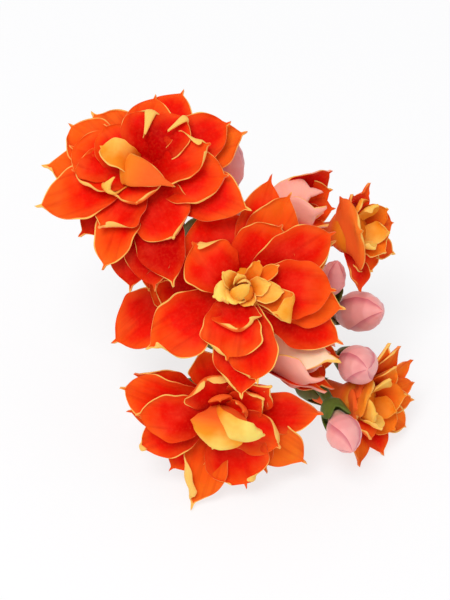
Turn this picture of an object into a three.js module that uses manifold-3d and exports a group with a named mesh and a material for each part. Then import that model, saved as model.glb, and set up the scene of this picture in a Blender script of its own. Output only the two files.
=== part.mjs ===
// A flower head of a double-flowered kalanchoe, cut with a short stalk and laid down on its side.
// Millimetres. +Z is up, and the surface that the head lies on is z = 0.
// Flowers are placed in the head's own frame: X across its face, Y up its face and Z out of its
// face, measured from the throat of the middle flower. The head leans back on its cut stalk.

import * as THREE from "three";
import Module from "manifold-3d";

const wasm = await Module();
wasm.setup();
const { Manifold } = wasm;

// Driving dimensions
const DEGREE = Math.PI / 180;
const LEAN = 45 * DEGREE; // from facing straight up to facing forward
const THROAT_HEIGHT = 20.8; // the middle flower's throat above the surface
const THROAT_ACROSS = -0.5; // and across and back from the middle of the whole head
const THROAT_BACK = -15.3;
const PETAL_THICK = 0.8; // along a petal's middle line, thinning to its margins
const TUBE_LENGTH = 6.0; // a flower's tube, from its throat back to its foot
const SEAT_GAP = 0.3; // between that foot and the calyx which carries it
const PEDICEL = 0.6; // radius of the slim stalk under each calyx
const BRANCH = 0.95; // radius of the branches
const STALK = 1.5; // radius of the stalk where it was cut
const SHINGLE = 9 * DEGREE; // each petal is tipped a little, one margin over its neighbour's
const FOLD = 0.1; // how far its margins stand over its middle line, as a part of half its breadth
const WIDEST = 0.6; // where along it a petal is widest
const CLAW = 0.3; // breadth of its root, as a part of its widest
const SHOULDER = 2.4; // how long it keeps its breadth past its widest, 1 being not at all
const POINT = 0.7; // and how bluntly it then closes, 1 being with straight margins
const DEPART = 0.4; // how far a petal's curve keeps to the slope of its root, as a part of its length
const ARRIVE = 0.45; // and to the slope of its tip
const WOUND_PETALS = 4; // the petals of a bud, wound round each other
const WINDING = 1.3; // turns of their pattern from its foot to its point
const SEAM = 0.07; // how far they ripple it, as a part of its radius
const CUP_DEEP = 2.2; // the bottom of a calyx under the foot of what it holds
const SEPAL_TALL = 2.3; // and the tips of its sepals over it
const SEPAL_CLEAR = 0.75; // and how far they stand off the girth of what it holds
const TUBE_GIRTH = 1.2; // the girth of a flower's tube inside its calyx
const BUD_GIRTH = 0.86; // and of a bud, as a part of its greatest radius
const STRAIGHT = 0.42; // the part of a slim stalk that runs straight on from its calyx
const FINEST = 0.03; // what is finer than this where petals meet is left out

// Colours
const ORANGE_RED = 0xe8341c;
const BUD_PINK = 0xe58c8c;
const GREEN = 0x6f8a3a;

// Where each layer's petals leave the throat: radius and height
const ROOTS = [
  [1.5, -0.6],
  [1.2, 0.0],
  [0.9, 0.5],
  [0.5, 0.8],
];

// Along a petal, where its cross-sections are
const STATIONS = [0, 0.2, 0.42, 0.66, 0.87];
const FEWER_STATIONS = [0, 0.28, 0.6, 0.87];
const FRONT_FLOWERS = ["bloom_top_left", "bloom_middle", "bloom_lower"]; // these have them all

const vec = (x, y, z) => new THREE.Vector3(x, y, z);

// Solids

// Rings of equal count, each turning left round the way to the next, skinned into one closed solid.
// It closes on the point given, or flat on its last ring.
function skin(rings, tip) {
  const points = rings.flat();
  const count = rings[0].length;
  const faces = [];
  for (let i = 1; i < count - 1; i++) faces.push([0, i + 1, i]);
  for (let s = 0; s < rings.length - 1; s++) {
    for (let i = 0; i < count; i++) {
      const a = s * count + i;
      const b = s * count + ((i + 1) % count);
      faces.push([a, b, b + count], [a, b + count, a + count]);
    }
  }
  const last = (rings.length - 1) * count;
  if (tip) {
    points.push(tip);
    const end = points.length - 1;
    for (let i = 0; i < count; i++) faces.push([last + i, last + ((i + 1) % count), end]);
  } else {
    for (let i = 1; i < count - 1; i++) faces.push([last, last + i, last + i + 1]);
  }
  return new Manifold(
    new wasm.Mesh({
      numProp: 3,
      vertProperties: new Float32Array(points.flatMap((p) => lay(p).toArray())),
      triVerts: new Uint32Array(faces.flat()),
    }),
  );
}

// From the head's own frame to the head as it lies.
function lay(p) {
  const c = Math.cos(LEAN);
  const s = Math.sin(LEAN);
  return vec(p.x + THROAT_ACROSS, c * p.y - s * p.z + THROAT_BACK, s * p.y + c * p.z + THROAT_HEIGHT);
}

// A flower's frame: its throat, the way it faces, and two directions across its face.
function frameOf(throat, facing) {
  const out = vec(...facing).normalize();
  const across = vec(0, 1, 0).cross(out).normalize();
  return { throat: vec(...throat), out, across, up: out.clone().cross(across) };
}

const along = (frame, x, y, z) =>
  frame.throat
    .clone()
    .addScaledVector(frame.across, x)
    .addScaledVector(frame.up, y)
    .addScaledVector(frame.out, z);

// A turned shape round a frame's own axis, from [radius, height] pairs.
function turned(frame, profile, sides) {
  return skin(
    profile.map(([radius, height]) =>
      Array.from({ length: sides }, (_, i) => {
        const angle = (i / sides) * 2 * Math.PI;
        return along(frame, radius * Math.cos(angle), radius * Math.sin(angle), height);
      }),
    ),
  );
}

// Half the breadth of a petal at u along it, as a part of its widest: a narrow claw, a full middle
// and a pointed end.
function breadth(u) {
  if (u < WIDEST) return CLAW + (1 - CLAW) * Math.sin(((u / WIDEST) * Math.PI) / 2);
  return (1 - ((u - WIDEST) / (1 - WIDEST)) ** SHOULDER) ** POINT;
}

// One petal. Its middle line leaves the throat at the slope `lift` and ends at `reach` out and
// `rise` up, running there at the slope `tip`, which is past 90 where the petal rolls back inward.
// A petal whose tip is folded back ends at its fold.
function petal(frame, root, row, stations) {
  const [, turn, reach, rise, wide, lift, tip, { sway = 0, via, fold = 1 } = {}] = row;
  const angle = turn * DEGREE;
  const away = frame.across
    .clone()
    .multiplyScalar(Math.cos(angle))
    .addScaledVector(frame.up, Math.sin(angle));
  const side = frame.out.clone().cross(away);
  const place = ([r, z], s = 0) =>
    frame.throat
      .clone()
      .addScaledVector(away, r)
      .addScaledVector(side, s)
      .addScaledVector(frame.out, z);
  const chord = Math.hypot(reach - root[0], rise - root[1]);
  const onward = ([r, z], share, slope) => [
    r + share * chord * Math.cos(slope * DEGREE),
    z + share * chord * Math.sin(slope * DEGREE),
  ];
  const [second, third] = via ?? [onward(root, DEPART, lift), onward([reach, rise], -ARRIVE, tip)];
  const curve = new THREE.CubicBezierCurve3(
    place(root),
    place(second),
    place(third, DEPART * sway),
    place([reach, rise], sway),
  );
  const rings = stations.map((u) => {
    const middle = curve.getPoint(u * fold);
    const going = curve.getTangent(u * fold);
    const level = side.clone().addScaledVector(going, -side.dot(going)).normalize();
    const wing = level.applyAxisAngle(going, SHINGLE);
    const face = going.clone().cross(wing);
    const half = (wide / 2) * breadth(u);
    const rim = (v) => middle.clone().addScaledVector(wing, v * half).addScaledVector(face, FOLD * half);
    return [rim(1), rim(-1), middle.addScaledVector(face, FOLD * half - PETAL_THICK)];
  });
  return skin(rings, curve.getPoint(fold));
}

// All the solids as one body. What is left hollow inside is filled, and a loose crumb is dropped.
function grown(solids) {
  const pieces = Manifold.union(solids).simplify(FINEST).decompose();
  return pieces.reduce((a, b) => (a.volume() > b.volume() ? a : b));
}

// Flowers

// Tube of a flower and the crowded heart at its mouth, which the petals stand out of.
const TUBE = [
  [1.0, -TUBE_LENGTH],
  [1.4, -4.2],
  [1.3, -2.2],
];
const OPEN_HEART = [
  [2.6, -1.0],
  [3.1, 0.3],
  [2.8, 1.3],
  [1.2, 2.2],
];
const CLOSED_HEART = [
  [1.9, -0.8],
  [2.1, 0.6],
  [1.2, 2.4],
];

function bloom(frame, rows, heart, stations) {
  const petals = rows.map((row) => petal(frame, ROOTS[row[0]], row, stations));
  return grown([turned(frame, [...TUBE, ...heart], 8), ...petals]);
}

// Each petal: layer, turn, reach, rise, width, slope at its root, slope at its tip. Some have a `sway`
// too, which shifts the tip sideways, a `via`, the radius and height of the curve's two middle
// points, for a petal that rolls over the heart, or a `fold`, where along it its tip folds back.
const FLOWERS = {
  bloom_top_left: {
    throat: [-8.2, 12.8, 0],
    facing: [-0.22, 0.25, 0.94],
    petals: [
      [0, 69, 9.6, -0.9, 5.4, 10, -14],
      [0, 132, 8.9, -0.3, 5.6, 12, -10],
      [0, 174, 11.1, -1.0, 5.0, 10, -14],
      [0, 222, 9.2, -2.0, 5.0, 2, -16],
      [0, 247, 10.7, -0.8, 5.0, 10, -12, { sway: 0.6 }],
      [0, 263, 11.7, -3.4, 5.8, 2, -18],
      [0, 276, 11.7, -3.0, 5.2, 2, -18],
      [0, 287, 12.0, -2.2, 5.4, 2, -16],
      [0, 341, 11.8, -1.1, 5.4, 8, -12],
      [0, 23, 11.2, -1.1, 5.6, 8, -14],
      [1, 83, 8.0, 0.6, 5.0, 28, -8],
      [1, 162, 9.3, 0.4, 5.6, 26, -10, { sway: -2.4 }],
      [1, 205, 11.4, 0.3, 5.8, 24, -10, { sway: -1.2 }],
      [1, 243, 7.3, 1.2, 6.6, 30, 20, { sway: -0.6 }],
      [1, 298, 8.2, 0.6, 6.4, 26, 24],
      [1, 344, 9.0, 0.7, 6.2, 28, 0, { sway: 1.8 }],
      [1, 26, 10.2, 0.5, 5.6, 26, -6, { sway: 0.6 }],
      [2, 4, 7.6, 2.3, 5.4, 48, 6, { sway: 1.6 }],
      [2, 43, 9.0, 2.9, 4.6, 52, 10, { sway: 0.1, fold: 0.82 }],
      [2, 77, 7.8, 3.4, 5.2, 58, 16, { sway: -0.1, fold: 0.77 }],
      [2, 142, 5.6, 2.5, 5.0, 54, 14, { sway: -1.0 }],
      [2, 172, 7.6, 1.8, 5.6, 44, 0, { sway: -1.2 }],
      [2, 197, 6.6, 2.3, 5.0, 50, 8, { sway: -1.6 }],
      [2, 273, 4.1, 2.6, 5.4, 58, 30],
      [3, 172, -4.7, 3.2, 3.3, 0, 0, { via: [[2.6, 1.0], [1.5, 4.9]], sway: 2.0 }],
      [3, 156, 3.9, 3.4, 2.9, 0, 0, { via: [[0.4, 3.9], [2.0, 5.0]] }],
      [3, 222, 2.4, 3.6, 2.0, 0, 0, { via: [[3.0, 1.4], [5.2, 3.0]] }],
    ],
  },
  bloom_middle: {
    throat: [1.5, 1.0, 0],
    facing: [0.1, 0, 0.995],
    petals: [
      [0, 74, 12.2, -1.2, 4.6, 8, -14],
      [0, 62, 11.2, -0.8, 5.2, 10, -12],
      [0, 24, 11.1, -1.5, 4.8, 6, -12, { sway: 0.6 }],
      [0, 350, 10.9, -0.3, 5.2, 14, -10],
      [0, 333, 12.0, -1.6, 5.2, 6, -12],
      [0, 266, 10.9, 0.3, 5.4, 8, -12, { sway: 0.9 }],
      [0, 212, 11.2, -0.4, 6.4, 12, -12],
      [0, 117, 9.2, -0.4, 7.0, 14, -8, { sway: -0.6 }],
      [1, 64, 7.8, 0.7, 6.4, 28, 10, { sway: -0.9 }],
      [1, 34, 11.3, 0.2, 5.6, 22, -6, { sway: -0.5 }],
      [1, 4, 9.6, 1.0, 6.0, 30, -6, { sway: -0.7 }],
      [1, 280, 9.6, 0.7, 5.4, 26, -8],
      [2, 252, 7.2, 1.7, 6.2, 40, 4, { sway: 0.8 }],
      [2, 146, 6.8, 1.9, 5.8, 46, 24, { sway: -1.2 }],
      [2, 254, 3.9, 3.0, 5.0, 58, 80, { sway: 0.6 }],
      [2, 346, 3.2, 3.2, 3.0, 0, 0, { via: [[3.4, 1.2], [7.2, 2.6]], sway: -1.5 }],
      [3, 176, 2.9, 2.3, 2.5, 46, -10, { sway: 0.9 }],
      [3, 214, 1.9, 2.1, 1.7, 50, -30],
      [3, 138, 2.7, 2.5, 1.7, 46, -10],
      [3, 108, 1.7, 3.1, 1.4, 62, 0],
      [3, 52, 3.3, 2.7, 1.5, 48, -20, { sway: 0.5 }],
      [3, 34, 4.4, 2.3, 1.5, 42, -20],
      [3, 12, 2.9, 2.6, 1.9, 50, -10],
      [3, 352, 4.2, 2.2, 2.2, 40, -20, { sway: 0.4 }],
      [3, 305, 1.9, 2.0, 1.8, 46, -20],
      [3, 258, 1.4, 2.3, 1.3, 62, 0],
      [3, 78, 0.9, 3.2, 1.4, 78, 60],
      [3, 222, -0.8, 2.9, 1.5, 0, 0, { via: [[1.3, 2.0], [0.8, 3.5]] }],
      [3, 330, -0.4, 2.7, 1.5, 0, 0, { via: [[1.1, 1.9], [0.8, 3.2]] }],
    ],
  },
  bloom_lower: {
    throat: [-0.3, -10.8, -4.6],
    facing: [0, -0.42, 0.907],
    petals: [
      [0, 165, 9.6, -0.6, 4.2, 10, -12, { sway: -1.0 }],
      [0, 188, 10.0, -1.4, 4.8, 4, -14],
      [0, 235, 9.6, -0.5, 4.8, 12, -12],
      [0, 254, 11.7, 1.7, 5.2, 12, 6],
      [0, 301, 9.2, -0.3, 4.8, 12, -10],
      [0, 322, 11.2, -0.2, 5.4, 12, -10],
      [0, 38, 6.4, 3.4, 5.0, 40, 20],
      [0, 108, 6.8, -0.2, 4.2, 14, -6],
      [1, 172, 10.7, 0.5, 5.2, 24, -8, { sway: -1.0 }],
      [1, 208, 10.7, 0.2, 4.6, 24, -14, { fold: 0.92 }],
      [1, 286, 9.4, 1.1, 6.6, 28, 4],
      [1, 357, 10.4, 0.5, 5.2, 26, -8],
      [1, 36, 5.4, 2.6, 4.8, 50, 30],
      [2, 188, 8.8, 1.7, 5.2, 42, 0, { sway: -1.2 }],
      [2, 112, 4.4, 2.3, 6.0, 54, 60],
      [2, 327, 7.2, 1.8, 5.4, 44, 10],
      [2, 28, 4.8, 2.8, 4.0, 58, 30],
      [3, 74, -3.5, 2.9, 5.8, 0, 0, { via: [[0.6, 3.6], [-0.8, 4.7]] }],
      [3, 158, -4.7, 2.9, 2.8, 0, 0, { via: [[0.7, 4.2], [-2.0, 5.2]] }],
      [3, 95, 2.0, 3.0, 2.6, 72, 120],
      [3, 20, 2.2, 2.9, 2.6, 70, 110],
    ],
  },
  bloom_upper_right: {
    throat: [13.1, 7.2, -10],
    facing: [0.78, 0.1, 0.62],
    petals: [
      [0, 68, 5.4, 1.6, 2.8, 34, 10],
      [0, 9, 4.9, 2.2, 4.4, 34, 0],
      [0, 335, 6.0, 1.6, 2.8, 30, -10],
      [0, 296, 4.9, 0.8, 4.2, 26, -10],
      [0, 270, 6.5, 0.6, 3.2, 26, -10],
      [0, 190, 2.6, 3.3, 7.6, 60, 70],
      [0, 110, 3.9, 1.6, 4.0, 36, 10],
      [1, 36, 3.6, 3.0, 3.2, 50, 20],
      [1, 310, 3.4, 2.8, 3.2, 50, 20],
      [1, 112, 3.2, 2.9, 4.0, 52, 40],
      [2, 78, 2.2, 3.6, 2.4, 66, 80],
      [2, 345, 2.0, 3.6, 2.4, 66, 80],
      [2, 264, 2.1, 3.2, 2.8, 62, 70],
    ],
  },
  bloom_lower_right: {
    throat: [14.0, -10.6, -10.4],
    facing: [0.78, -0.2, 0.6],
    petals: [
      [0, 84, 6.8, 2.0, 3.0, 30, -6],
      [0, 66, 7.0, 2.0, 3.2, 30, -6],
      [0, 43, 7.2, 2.3, 3.0, 30, -6],
      [0, 22, 6.6, 2.6, 2.8, 30, -6],
      [0, 5, 6.5, 2.6, 2.8, 30, -6],
      [0, 338, 6.8, 2.4, 3.2, 30, -6],
      [0, 302, 6.6, 1.9, 2.8, 30, -6],
      [0, 275, 6.9, 1.0, 2.8, 24, -10],
      [0, 190, 2.4, 1.7, 3.6, 48, 60],
      [0, 126, 2.8, 1.5, 3.2, 40, 30],
      [1, 72, 4.6, 3.0, 3.4, 46, 10],
      [1, 18, 4.2, 3.2, 3.4, 46, 10],
      [1, 322, 4.2, 2.9, 3.4, 46, 10],
      [1, 262, 3.5, 2.7, 3.2, 48, 30],
      [1, 152, 2.8, 3.0, 4.2, 56, 60],
      [2, 88, 3.1, 3.5, 2.8, 58, 40],
      [2, 268, 2.2, 3.5, 2.8, 60, 50],
      [2, 350, 2.0, 3.6, 2.4, 66, 80],
      [2, 196, 1.6, 3.6, 3.4, 72, 100],
    ],
  },
  bloom_opening_top: {
    throat: [5.0, 9.4, -8],
    facing: [0.94, 0.15, 0.3],
    petals: [
      [0, 146, 1.4, 5.9, 4.6, 84, 100],
      [0, 212, 2.0, 6.3, 4.6, 84, 100],
      [0, 276, 2.6, 5.6, 4.4, 78, 70],
      [1, 52, 3.7, 6.3, 5.2, 68, 40, { sway: 0.6 }],
      [1, 24, 3.1, 5.9, 4.4, 72, 60],
      [1, 345, 3.0, 5.9, 4.4, 72, 60],
      [2, 60, 1.2, 5.2, 3.0, 84, 90],
      [2, 300, 1.2, 5.2, 3.0, 84, 90],
    ],
  },
  bloom_opening_low: {
    throat: [4.6, -5.2, -6.5],
    facing: [0.92, -0.25, 0.25],
    petals: [
      [0, 150, 2.0, 8.0, 4.4, 84, 90],
      [0, 222, 2.2, 6.9, 4.6, 84, 100],
      [0, 282, 2.8, 6.8, 4.6, 78, 70],
      [1, 90, 2.4, 6.6, 4.4, 78, 80],
      [1, 22, 3.0, 6.8, 4.6, 74, 60],
      [1, 318, 3.6, 7.0, 4.6, 70, 50],
      [2, 180, 0.9, 6.0, 3.2, 86, 110],
      [2, 60, 1.4, 6.2, 3.4, 84, 90],
      [2, 300, 1.4, 6.0, 3.4, 84, 90],
    ],
  },
  bloom_left: {
    throat: [-3.6, 1.8, -7.4],
    facing: [-0.35, 0, 0.93],
    petals: [
      [0, 215, 11.2, -1.0, 6.2, 12, -12],
      [0, 262, 6.0, -0.4, 5.0, 14, -4],
      [0, 158, 6.0, -0.6, 5.0, 12, -10],
      [0, 100, 5.0, -0.2, 5.0, 16, 0],
      [1, 250, 5.0, 0.5, 4.8, 30, 4],
      [1, 190, 4.6, 0.5, 4.8, 30, 0],
      [1, 128, 4.6, 0.5, 4.8, 30, 0],
      [2, 222, 3.4, 1.8, 4.2, 54, 50],
      [2, 290, 3.2, 2.0, 4.2, 62, 80],
      [2, 20, 2.2, 2.6, 4.0, 74, 90],
    ],
  },
};

// Buds

// A bud is pointed, of petals wound round each other: foot, direction, length, greatest radius.
const BUDS = {
  bud_top: { foot: [-0.4, 10.4, -6.4], pointing: [0.2, 0.85, 0.48], length: 7.0, radius: 1.7 },
  bud_right_1: { foot: [10.7, 0.4, -11.4], pointing: [0.2, 0.74, 0.64], length: 5.0, radius: 1.45 },
  bud_right_2: { foot: [12.0, -1.2, -16], pointing: [0.6, 0.0, 0.8], length: 7.6, radius: 2.2 },
  bud_right_3: { foot: [12.9, -6.3, -9.9], pointing: [0.25, -0.12, 0.96], length: 6.4, radius: 2.05 },
  bud_low: { foot: [11.4, -11.9, -7.3], pointing: [0.3, -0.68, 0.67], length: 5.3, radius: 1.8 },
  bud_under: { foot: [-3.0, -9.8, -15.4], pointing: [-0.93, -0.2, -0.31], length: 6.5, radius: 1.9 },
};

// How a bud swells and closes: height and radius as parts of its own
const BUD_SWELL = [
  [0, 0.45],
  [0.12, 0.58],
  [0.28, 0.84],
  [0.45, 1.0],
  [0.62, 0.94],
  [0.78, 0.7],
  [0.9, 0.36],
];
const BUD_SIDES = 12;

function bud({ foot, pointing, length, radius }) {
  const frame = frameOf(foot, pointing);
  const rings = BUD_SWELL.map(([height, swell]) =>
    Array.from({ length: BUD_SIDES }, (_, i) => {
      const angle = (i / BUD_SIDES) * 2 * Math.PI;
      const wound = WOUND_PETALS * angle + 2 * Math.PI * WINDING * height;
      const r = radius * swell * (1 + SEAM * Math.min(1, 2 * height) * Math.sin(wound));
      return along(frame, r * Math.cos(angle), r * Math.sin(angle), height * length);
    }),
  );
  return skin(rings, along(frame, 0, 0, length));
}

// Stalk

// A stem through four points of a curve, thinning from one radius to the other.
function stem(points, from, to, sides, steps) {
  const curve = new THREE.CubicBezierCurve3(...points);
  const frames = curve.computeFrenetFrames(steps);
  return skin(
    Array.from({ length: steps + 1 }, (_, s) => {
      const middle = curve.getPointAt(s / steps);
      const radius = from + (to - from) * (s / steps);
      return Array.from({ length: sides }, (_, i) => {
        const angle = (i / sides) * 2 * Math.PI;
        return middle
          .clone()
          .addScaledVector(frames.normals[s], radius * Math.cos(angle))
          .addScaledVector(frames.binormals[s], radius * Math.sin(angle));
      });
    }),
  );
}

// The cup of four green sepals that a flower or bud stands in, clear of its girth, and the slim
// stalk from there to its fork.
function calyx(foot, facing, girth, fork, turn) {
  const frame = frameOf(foot, facing);
  const ring = (tip, notch) =>
    Array.from({ length: 8 }, (_, i) => {
      const angle = (turn + i * 45) * DEGREE;
      const [radius, height] = i % 2 ? notch : tip;
      return along(frame, radius * Math.cos(angle), radius * Math.sin(angle), height);
    });
  const cup = skin([
    ring([0.5, -CUP_DEEP], [0.5, -CUP_DEEP]),
    ring([1.3, -1.3], [1.2, -1.3]),
    ring([girth + SEPAL_CLEAR, SEPAL_TALL], [1.5, 0.2]),
    ring([girth + SEPAL_CLEAR / 2, SEPAL_TALL / 3], [1.4, 0.0]),
    ring([1.3, -SEAT_GAP], [1.2, -SEAT_GAP]),
  ]);
  const end = along(frame, 0, 0, 0.2 - CUP_DEEP);
  const far = fork.distanceTo(end);
  const leave = frame.out.clone().multiplyScalar(-STRAIGHT * far).add(end);
  const start = fork.clone().lerp(end, 0.3).add(vec(0, 0, -0.08 * far));
  return [cup, stem([fork, start, leave, end], PEDICEL * 1.2, PEDICEL, 5, 3)];
}

const FORKS = {
  main: { at: [1, 1, -21] },
  left: { at: [-4, 6, -14.5], from: "main" },
  right: { at: [5.5, 2.5, -17], from: "main" },
  low: { at: [1.6, -5.5, -15.5], from: "main" },
  low_right: { at: [6.5, -6.5, -15], from: "low" },
};

// Which fork carries each flower and bud, and how its calyx is turned
const CARRIED = {
  bloom_top_left: ["left", 20],
  bloom_middle: ["main", 45],
  bloom_lower: ["low", 0],
  bloom_upper_right: ["right", 30],
  bloom_lower_right: ["low_right", 15],
  bloom_opening_top: ["left", 0],
  bloom_opening_low: ["low", 40],
  bloom_left: ["main", 10],
  bud_top: ["left", 30],
  bud_right_1: ["right", 0],
  bud_right_2: ["right", 45],
  bud_right_3: ["low_right", 20],
  bud_low: ["low_right", 60],
  bud_under: ["low", 10],
};

// The swelling at a fork: radius and height
const KNUCKLE = [
  [0.6, -1.5],
  [1.35, -0.6],
  [1.35, 0.4],
  [0.6, 1.2],
];

// The stout stalk from the main fork to where it was cut
const CUT_STALK = [FORKS.main.at, [0.8, 1, -25], [-1.2, 8.5, -35.5], [-2.5, 14.6, -42.2]];

function stalk() {
  const solids = [stem(CUT_STALK.map((point) => vec(...point)), BRANCH, STALK, 8, 7)];
  for (const { at, from } of Object.values(FORKS)) {
    solids.push(turned(frameOf(at, [0.1, 0.1, 1]), KNUCKLE, 6));
    if (!from) continue;
    const start = vec(...FORKS[from].at);
    const end = vec(...at);
    const bow = vec(0, 0, -1.5);
    const bowed = (share) => start.clone().lerp(end, share).add(bow);
    solids.push(stem([start, bowed(0.35), bowed(0.7), end], BRANCH, BRANCH, 6, 4));
  }
  for (const [name, [fork, turn]] of Object.entries(CARRIED)) {
    const from = vec(...FORKS[fork].at);
    if (FLOWERS[name]) {
      const { throat, facing } = FLOWERS[name];
      const foot = along(frameOf(throat, facing), 0, 0, -TUBE_LENGTH).toArray();
      solids.push(...calyx(foot, facing, TUBE_GIRTH, from, turn));
    } else {
      const { foot, pointing, radius } = BUDS[name];
      solids.push(...calyx(foot, pointing, radius * BUD_GIRTH, from, turn));
    }
  }
  return grown(solids);
}

// The part

// What would reach under the surface is pressed flat on it.
function pressed(solid) {
  return solid.trimByPlane([0, 0, 1], 0);
}

const group = new THREE.Group();

function add(name, solid, colour) {
  const mesh = pressed(solid).getMesh();
  const points = [];
  for (let i = 0; i < mesh.vertProperties.length; i += mesh.numProp) {
    points.push(...mesh.vertProperties.slice(i, i + 3));
  }
  const geometry = new THREE.BufferGeometry();
  geometry.setAttribute("position", new THREE.BufferAttribute(new Float32Array(points), 3));
  geometry.setIndex(Array.from(mesh.triVerts));
  geometry.computeVertexNormals();
  const piece = new THREE.Mesh(geometry, new THREE.MeshStandardMaterial({ color: colour }));
  piece.name = name;
  group.add(piece);
}

for (const [name, { throat, facing, petals }] of Object.entries(FLOWERS)) {
  const heart = name.includes("opening") ? CLOSED_HEART : OPEN_HEART;
  const stations = FRONT_FLOWERS.includes(name) ? STATIONS : FEWER_STATIONS;
  add(name, bloom(frameOf(throat, facing), petals, heart, stations), ORANGE_RED);
}
for (const [name, shape] of Object.entries(BUDS)) add(name, bud(shape), BUD_PINK);
add("stalk", stalk(), GREEN);

export default group;
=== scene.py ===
# %% [markdown]
# # A cut flower head of a double kalanchoe
# This lesson dresses a flower head the size of a walnut: eight layered orange-red flowers and six
# pink buds on one branching green stalk, laid on its side. The solids from the workshop say where
# each flower is and how big. Here each flower becomes a set of thin curved petals, because a petal
# is what the eye reads first: its yellow margin, its curl and its velvety face.

# %% Load the frame
import math
import random
from types import SimpleNamespace

import bpy
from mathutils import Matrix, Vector, noise


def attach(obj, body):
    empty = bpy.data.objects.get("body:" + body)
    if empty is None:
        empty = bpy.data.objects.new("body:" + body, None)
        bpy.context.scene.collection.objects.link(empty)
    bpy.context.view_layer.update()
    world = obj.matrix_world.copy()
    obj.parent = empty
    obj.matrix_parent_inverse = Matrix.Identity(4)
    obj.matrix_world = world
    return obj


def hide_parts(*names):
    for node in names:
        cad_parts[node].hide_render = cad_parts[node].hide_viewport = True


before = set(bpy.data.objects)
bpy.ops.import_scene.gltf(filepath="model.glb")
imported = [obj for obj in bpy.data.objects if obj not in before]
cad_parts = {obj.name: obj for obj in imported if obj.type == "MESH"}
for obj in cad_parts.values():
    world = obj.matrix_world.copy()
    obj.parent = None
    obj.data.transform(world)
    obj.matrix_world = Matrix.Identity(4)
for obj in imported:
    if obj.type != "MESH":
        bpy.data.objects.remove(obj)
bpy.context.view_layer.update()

# %% [markdown]
# ## Millimetres and the head's own frame
# Blender works in metres, but a flower is easier to measure in millimetres, so every length below
# is in millimetres and `lay` turns it into metres at the very end. Flowers are placed in the head's
# own frame: X across its face, Y up its face, Z out of it, from the throat of the middle flower.
# Laying the head down is one turn about X, done for every point rather than for the objects, so
# that each object keeps its origin where the frame wants it.

# %% Lengths and the way the head lies
MM = 0.001
LEAN = math.radians(45)
THROAT = Vector((-0.5, -15.3, 20.8))  # the middle flower's throat, over the surface
SURFACE_CLEAR = 0.01  # what touches the surface stays this far above it


def lay(point):
    """From the head's own frame, in millimetres, to the head as it lies, in metres."""
    c, s = math.cos(LEAN), math.sin(LEAN)
    x, y, z = point
    laid = Vector((x, c * y - s * z, s * y + c * z)) + THROAT
    laid.z = max(laid.z, SURFACE_CLEAR)
    return laid * MM


def frame_of(throat, facing):
    """A flower's throat, the way it faces, and two directions across its face."""
    out = Vector(facing).normalized()
    across = Vector((0, 1, 0)).cross(out).normalized()
    return Vector(throat), across, out.cross(across), out


def around(spot, angle, radius, height):
    """A point round a flower's own axis, so far out of its throat."""
    throat, across, up, out = spot
    x, y = radius * math.cos(angle), radius * math.sin(angle)
    return throat + across * x + up * y + out * height


def circle(count):
    """Evenly spaced angles once round."""
    return [2 * math.pi * i / count for i in range(count)]


print("a point 1 mm out of the middle flower:", [round(v, 4) for v in lay((0, 0, 1))])

# %% [markdown]
# ## Meshes from rings
# Petals, buds and stems are all long closed shapes, so one helper makes them: it takes rings of
# equal count and joins each ring to the next. Building the faces by hand, rather than bending a
# plane with modifiers, keeps the fine margin of a petal exactly where its colour needs it. Each
# point also carries a few plain numbers, such as how far it lies from the margin, and the
# materials read those instead of an image.

# %% A mesh that grows ring by ring
class Growth:
    """Points, faces and the numbers that each point carries for its material."""

    def __init__(self, *marks):
        self.points, self.faces = [], []
        self.marks = {mark: [] for mark in marks}

    def put(self, point, marks):
        """One point, laid down, with its marks."""
        self.points.append(lay(point))
        for mark, value in zip(self.marks, marks):
            self.marks[mark].append(value)

    def skin(self, rings, marks=None, tip=None):
        """Joins rings of equal count. A tip is one more point and its marks, else it ends flat."""
        first, count = len(self.points), len(rings[0])
        for s, ring in enumerate(rings):
            for i, point in enumerate(ring):
                self.put(point, marks[s][i] if marks else ())
        self.faces.append(list(range(first, first + count))[::-1])
        for s in range(len(rings) - 1):
            for i in range(count):
                a = first + s * count + i
                b = first + s * count + (i + 1) % count
                self.faces.append([a, b, b + count, a + count])
        last = len(self.points) - count
        if tip is None:
            self.faces.append(list(range(last, last + count)))
        else:
            self.put(*tip)
            end = last + count
            self.faces += [[last + i, last + (i + 1) % count, end] for i in range(count)]

    def piece(self, name, material):
        """The finished object."""
        mesh = bpy.data.meshes.new(name)
        mesh.from_pydata(self.points, [], self.faces)
        for mark, values in self.marks.items():
            mesh.attributes.new(mark, "FLOAT", "POINT").data.foreach_set("value", values)
        mesh.materials.append(material)
        mesh.polygons.foreach_set("use_smooth", [True] * len(mesh.polygons))
        mesh.update()
        made = bpy.data.objects.new(name, mesh)
        bpy.context.scene.collection.objects.link(made)
        return made


def finish_piece(made, node):
    """Attaches a piece to the root body, hides the solid that it takes the place of and prints how many
    faces it has.
    """
    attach(made, "root")
    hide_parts(node)
    print(f"{made.name}: {len(made.data.polygons)} faces for {node}")


trial = Growth()
trial.skin([[(0, 0, z), (1, 0, z), (0, 1, z)] for z in (0, 1)])
print("two rings of three points have", len(trial.faces), "faces with their ends")

# %% [markdown]
# ## Colour and material helpers
# Colours are noted the way a painter's card or a screen shows them, as sRGB hex, and one function
# turns them into the linear numbers that light is reckoned in. A second small function adds any
# shader node with its settings and links and hands back the output that is wanted, so that each
# material below reads as a recipe rather than as wiring.

# %% Colours and shader nodes
COLOUR_A, COLOUR_B = 6, 7  # where a Mix node takes its two colours
COLOURS = {"data_type": "RGBA", "out": 2}  # for a Mix node that mixes colours
EASED = {"interpolation_type": "SMOOTHSTEP"}  # for a MapRange node with soft ends


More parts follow.
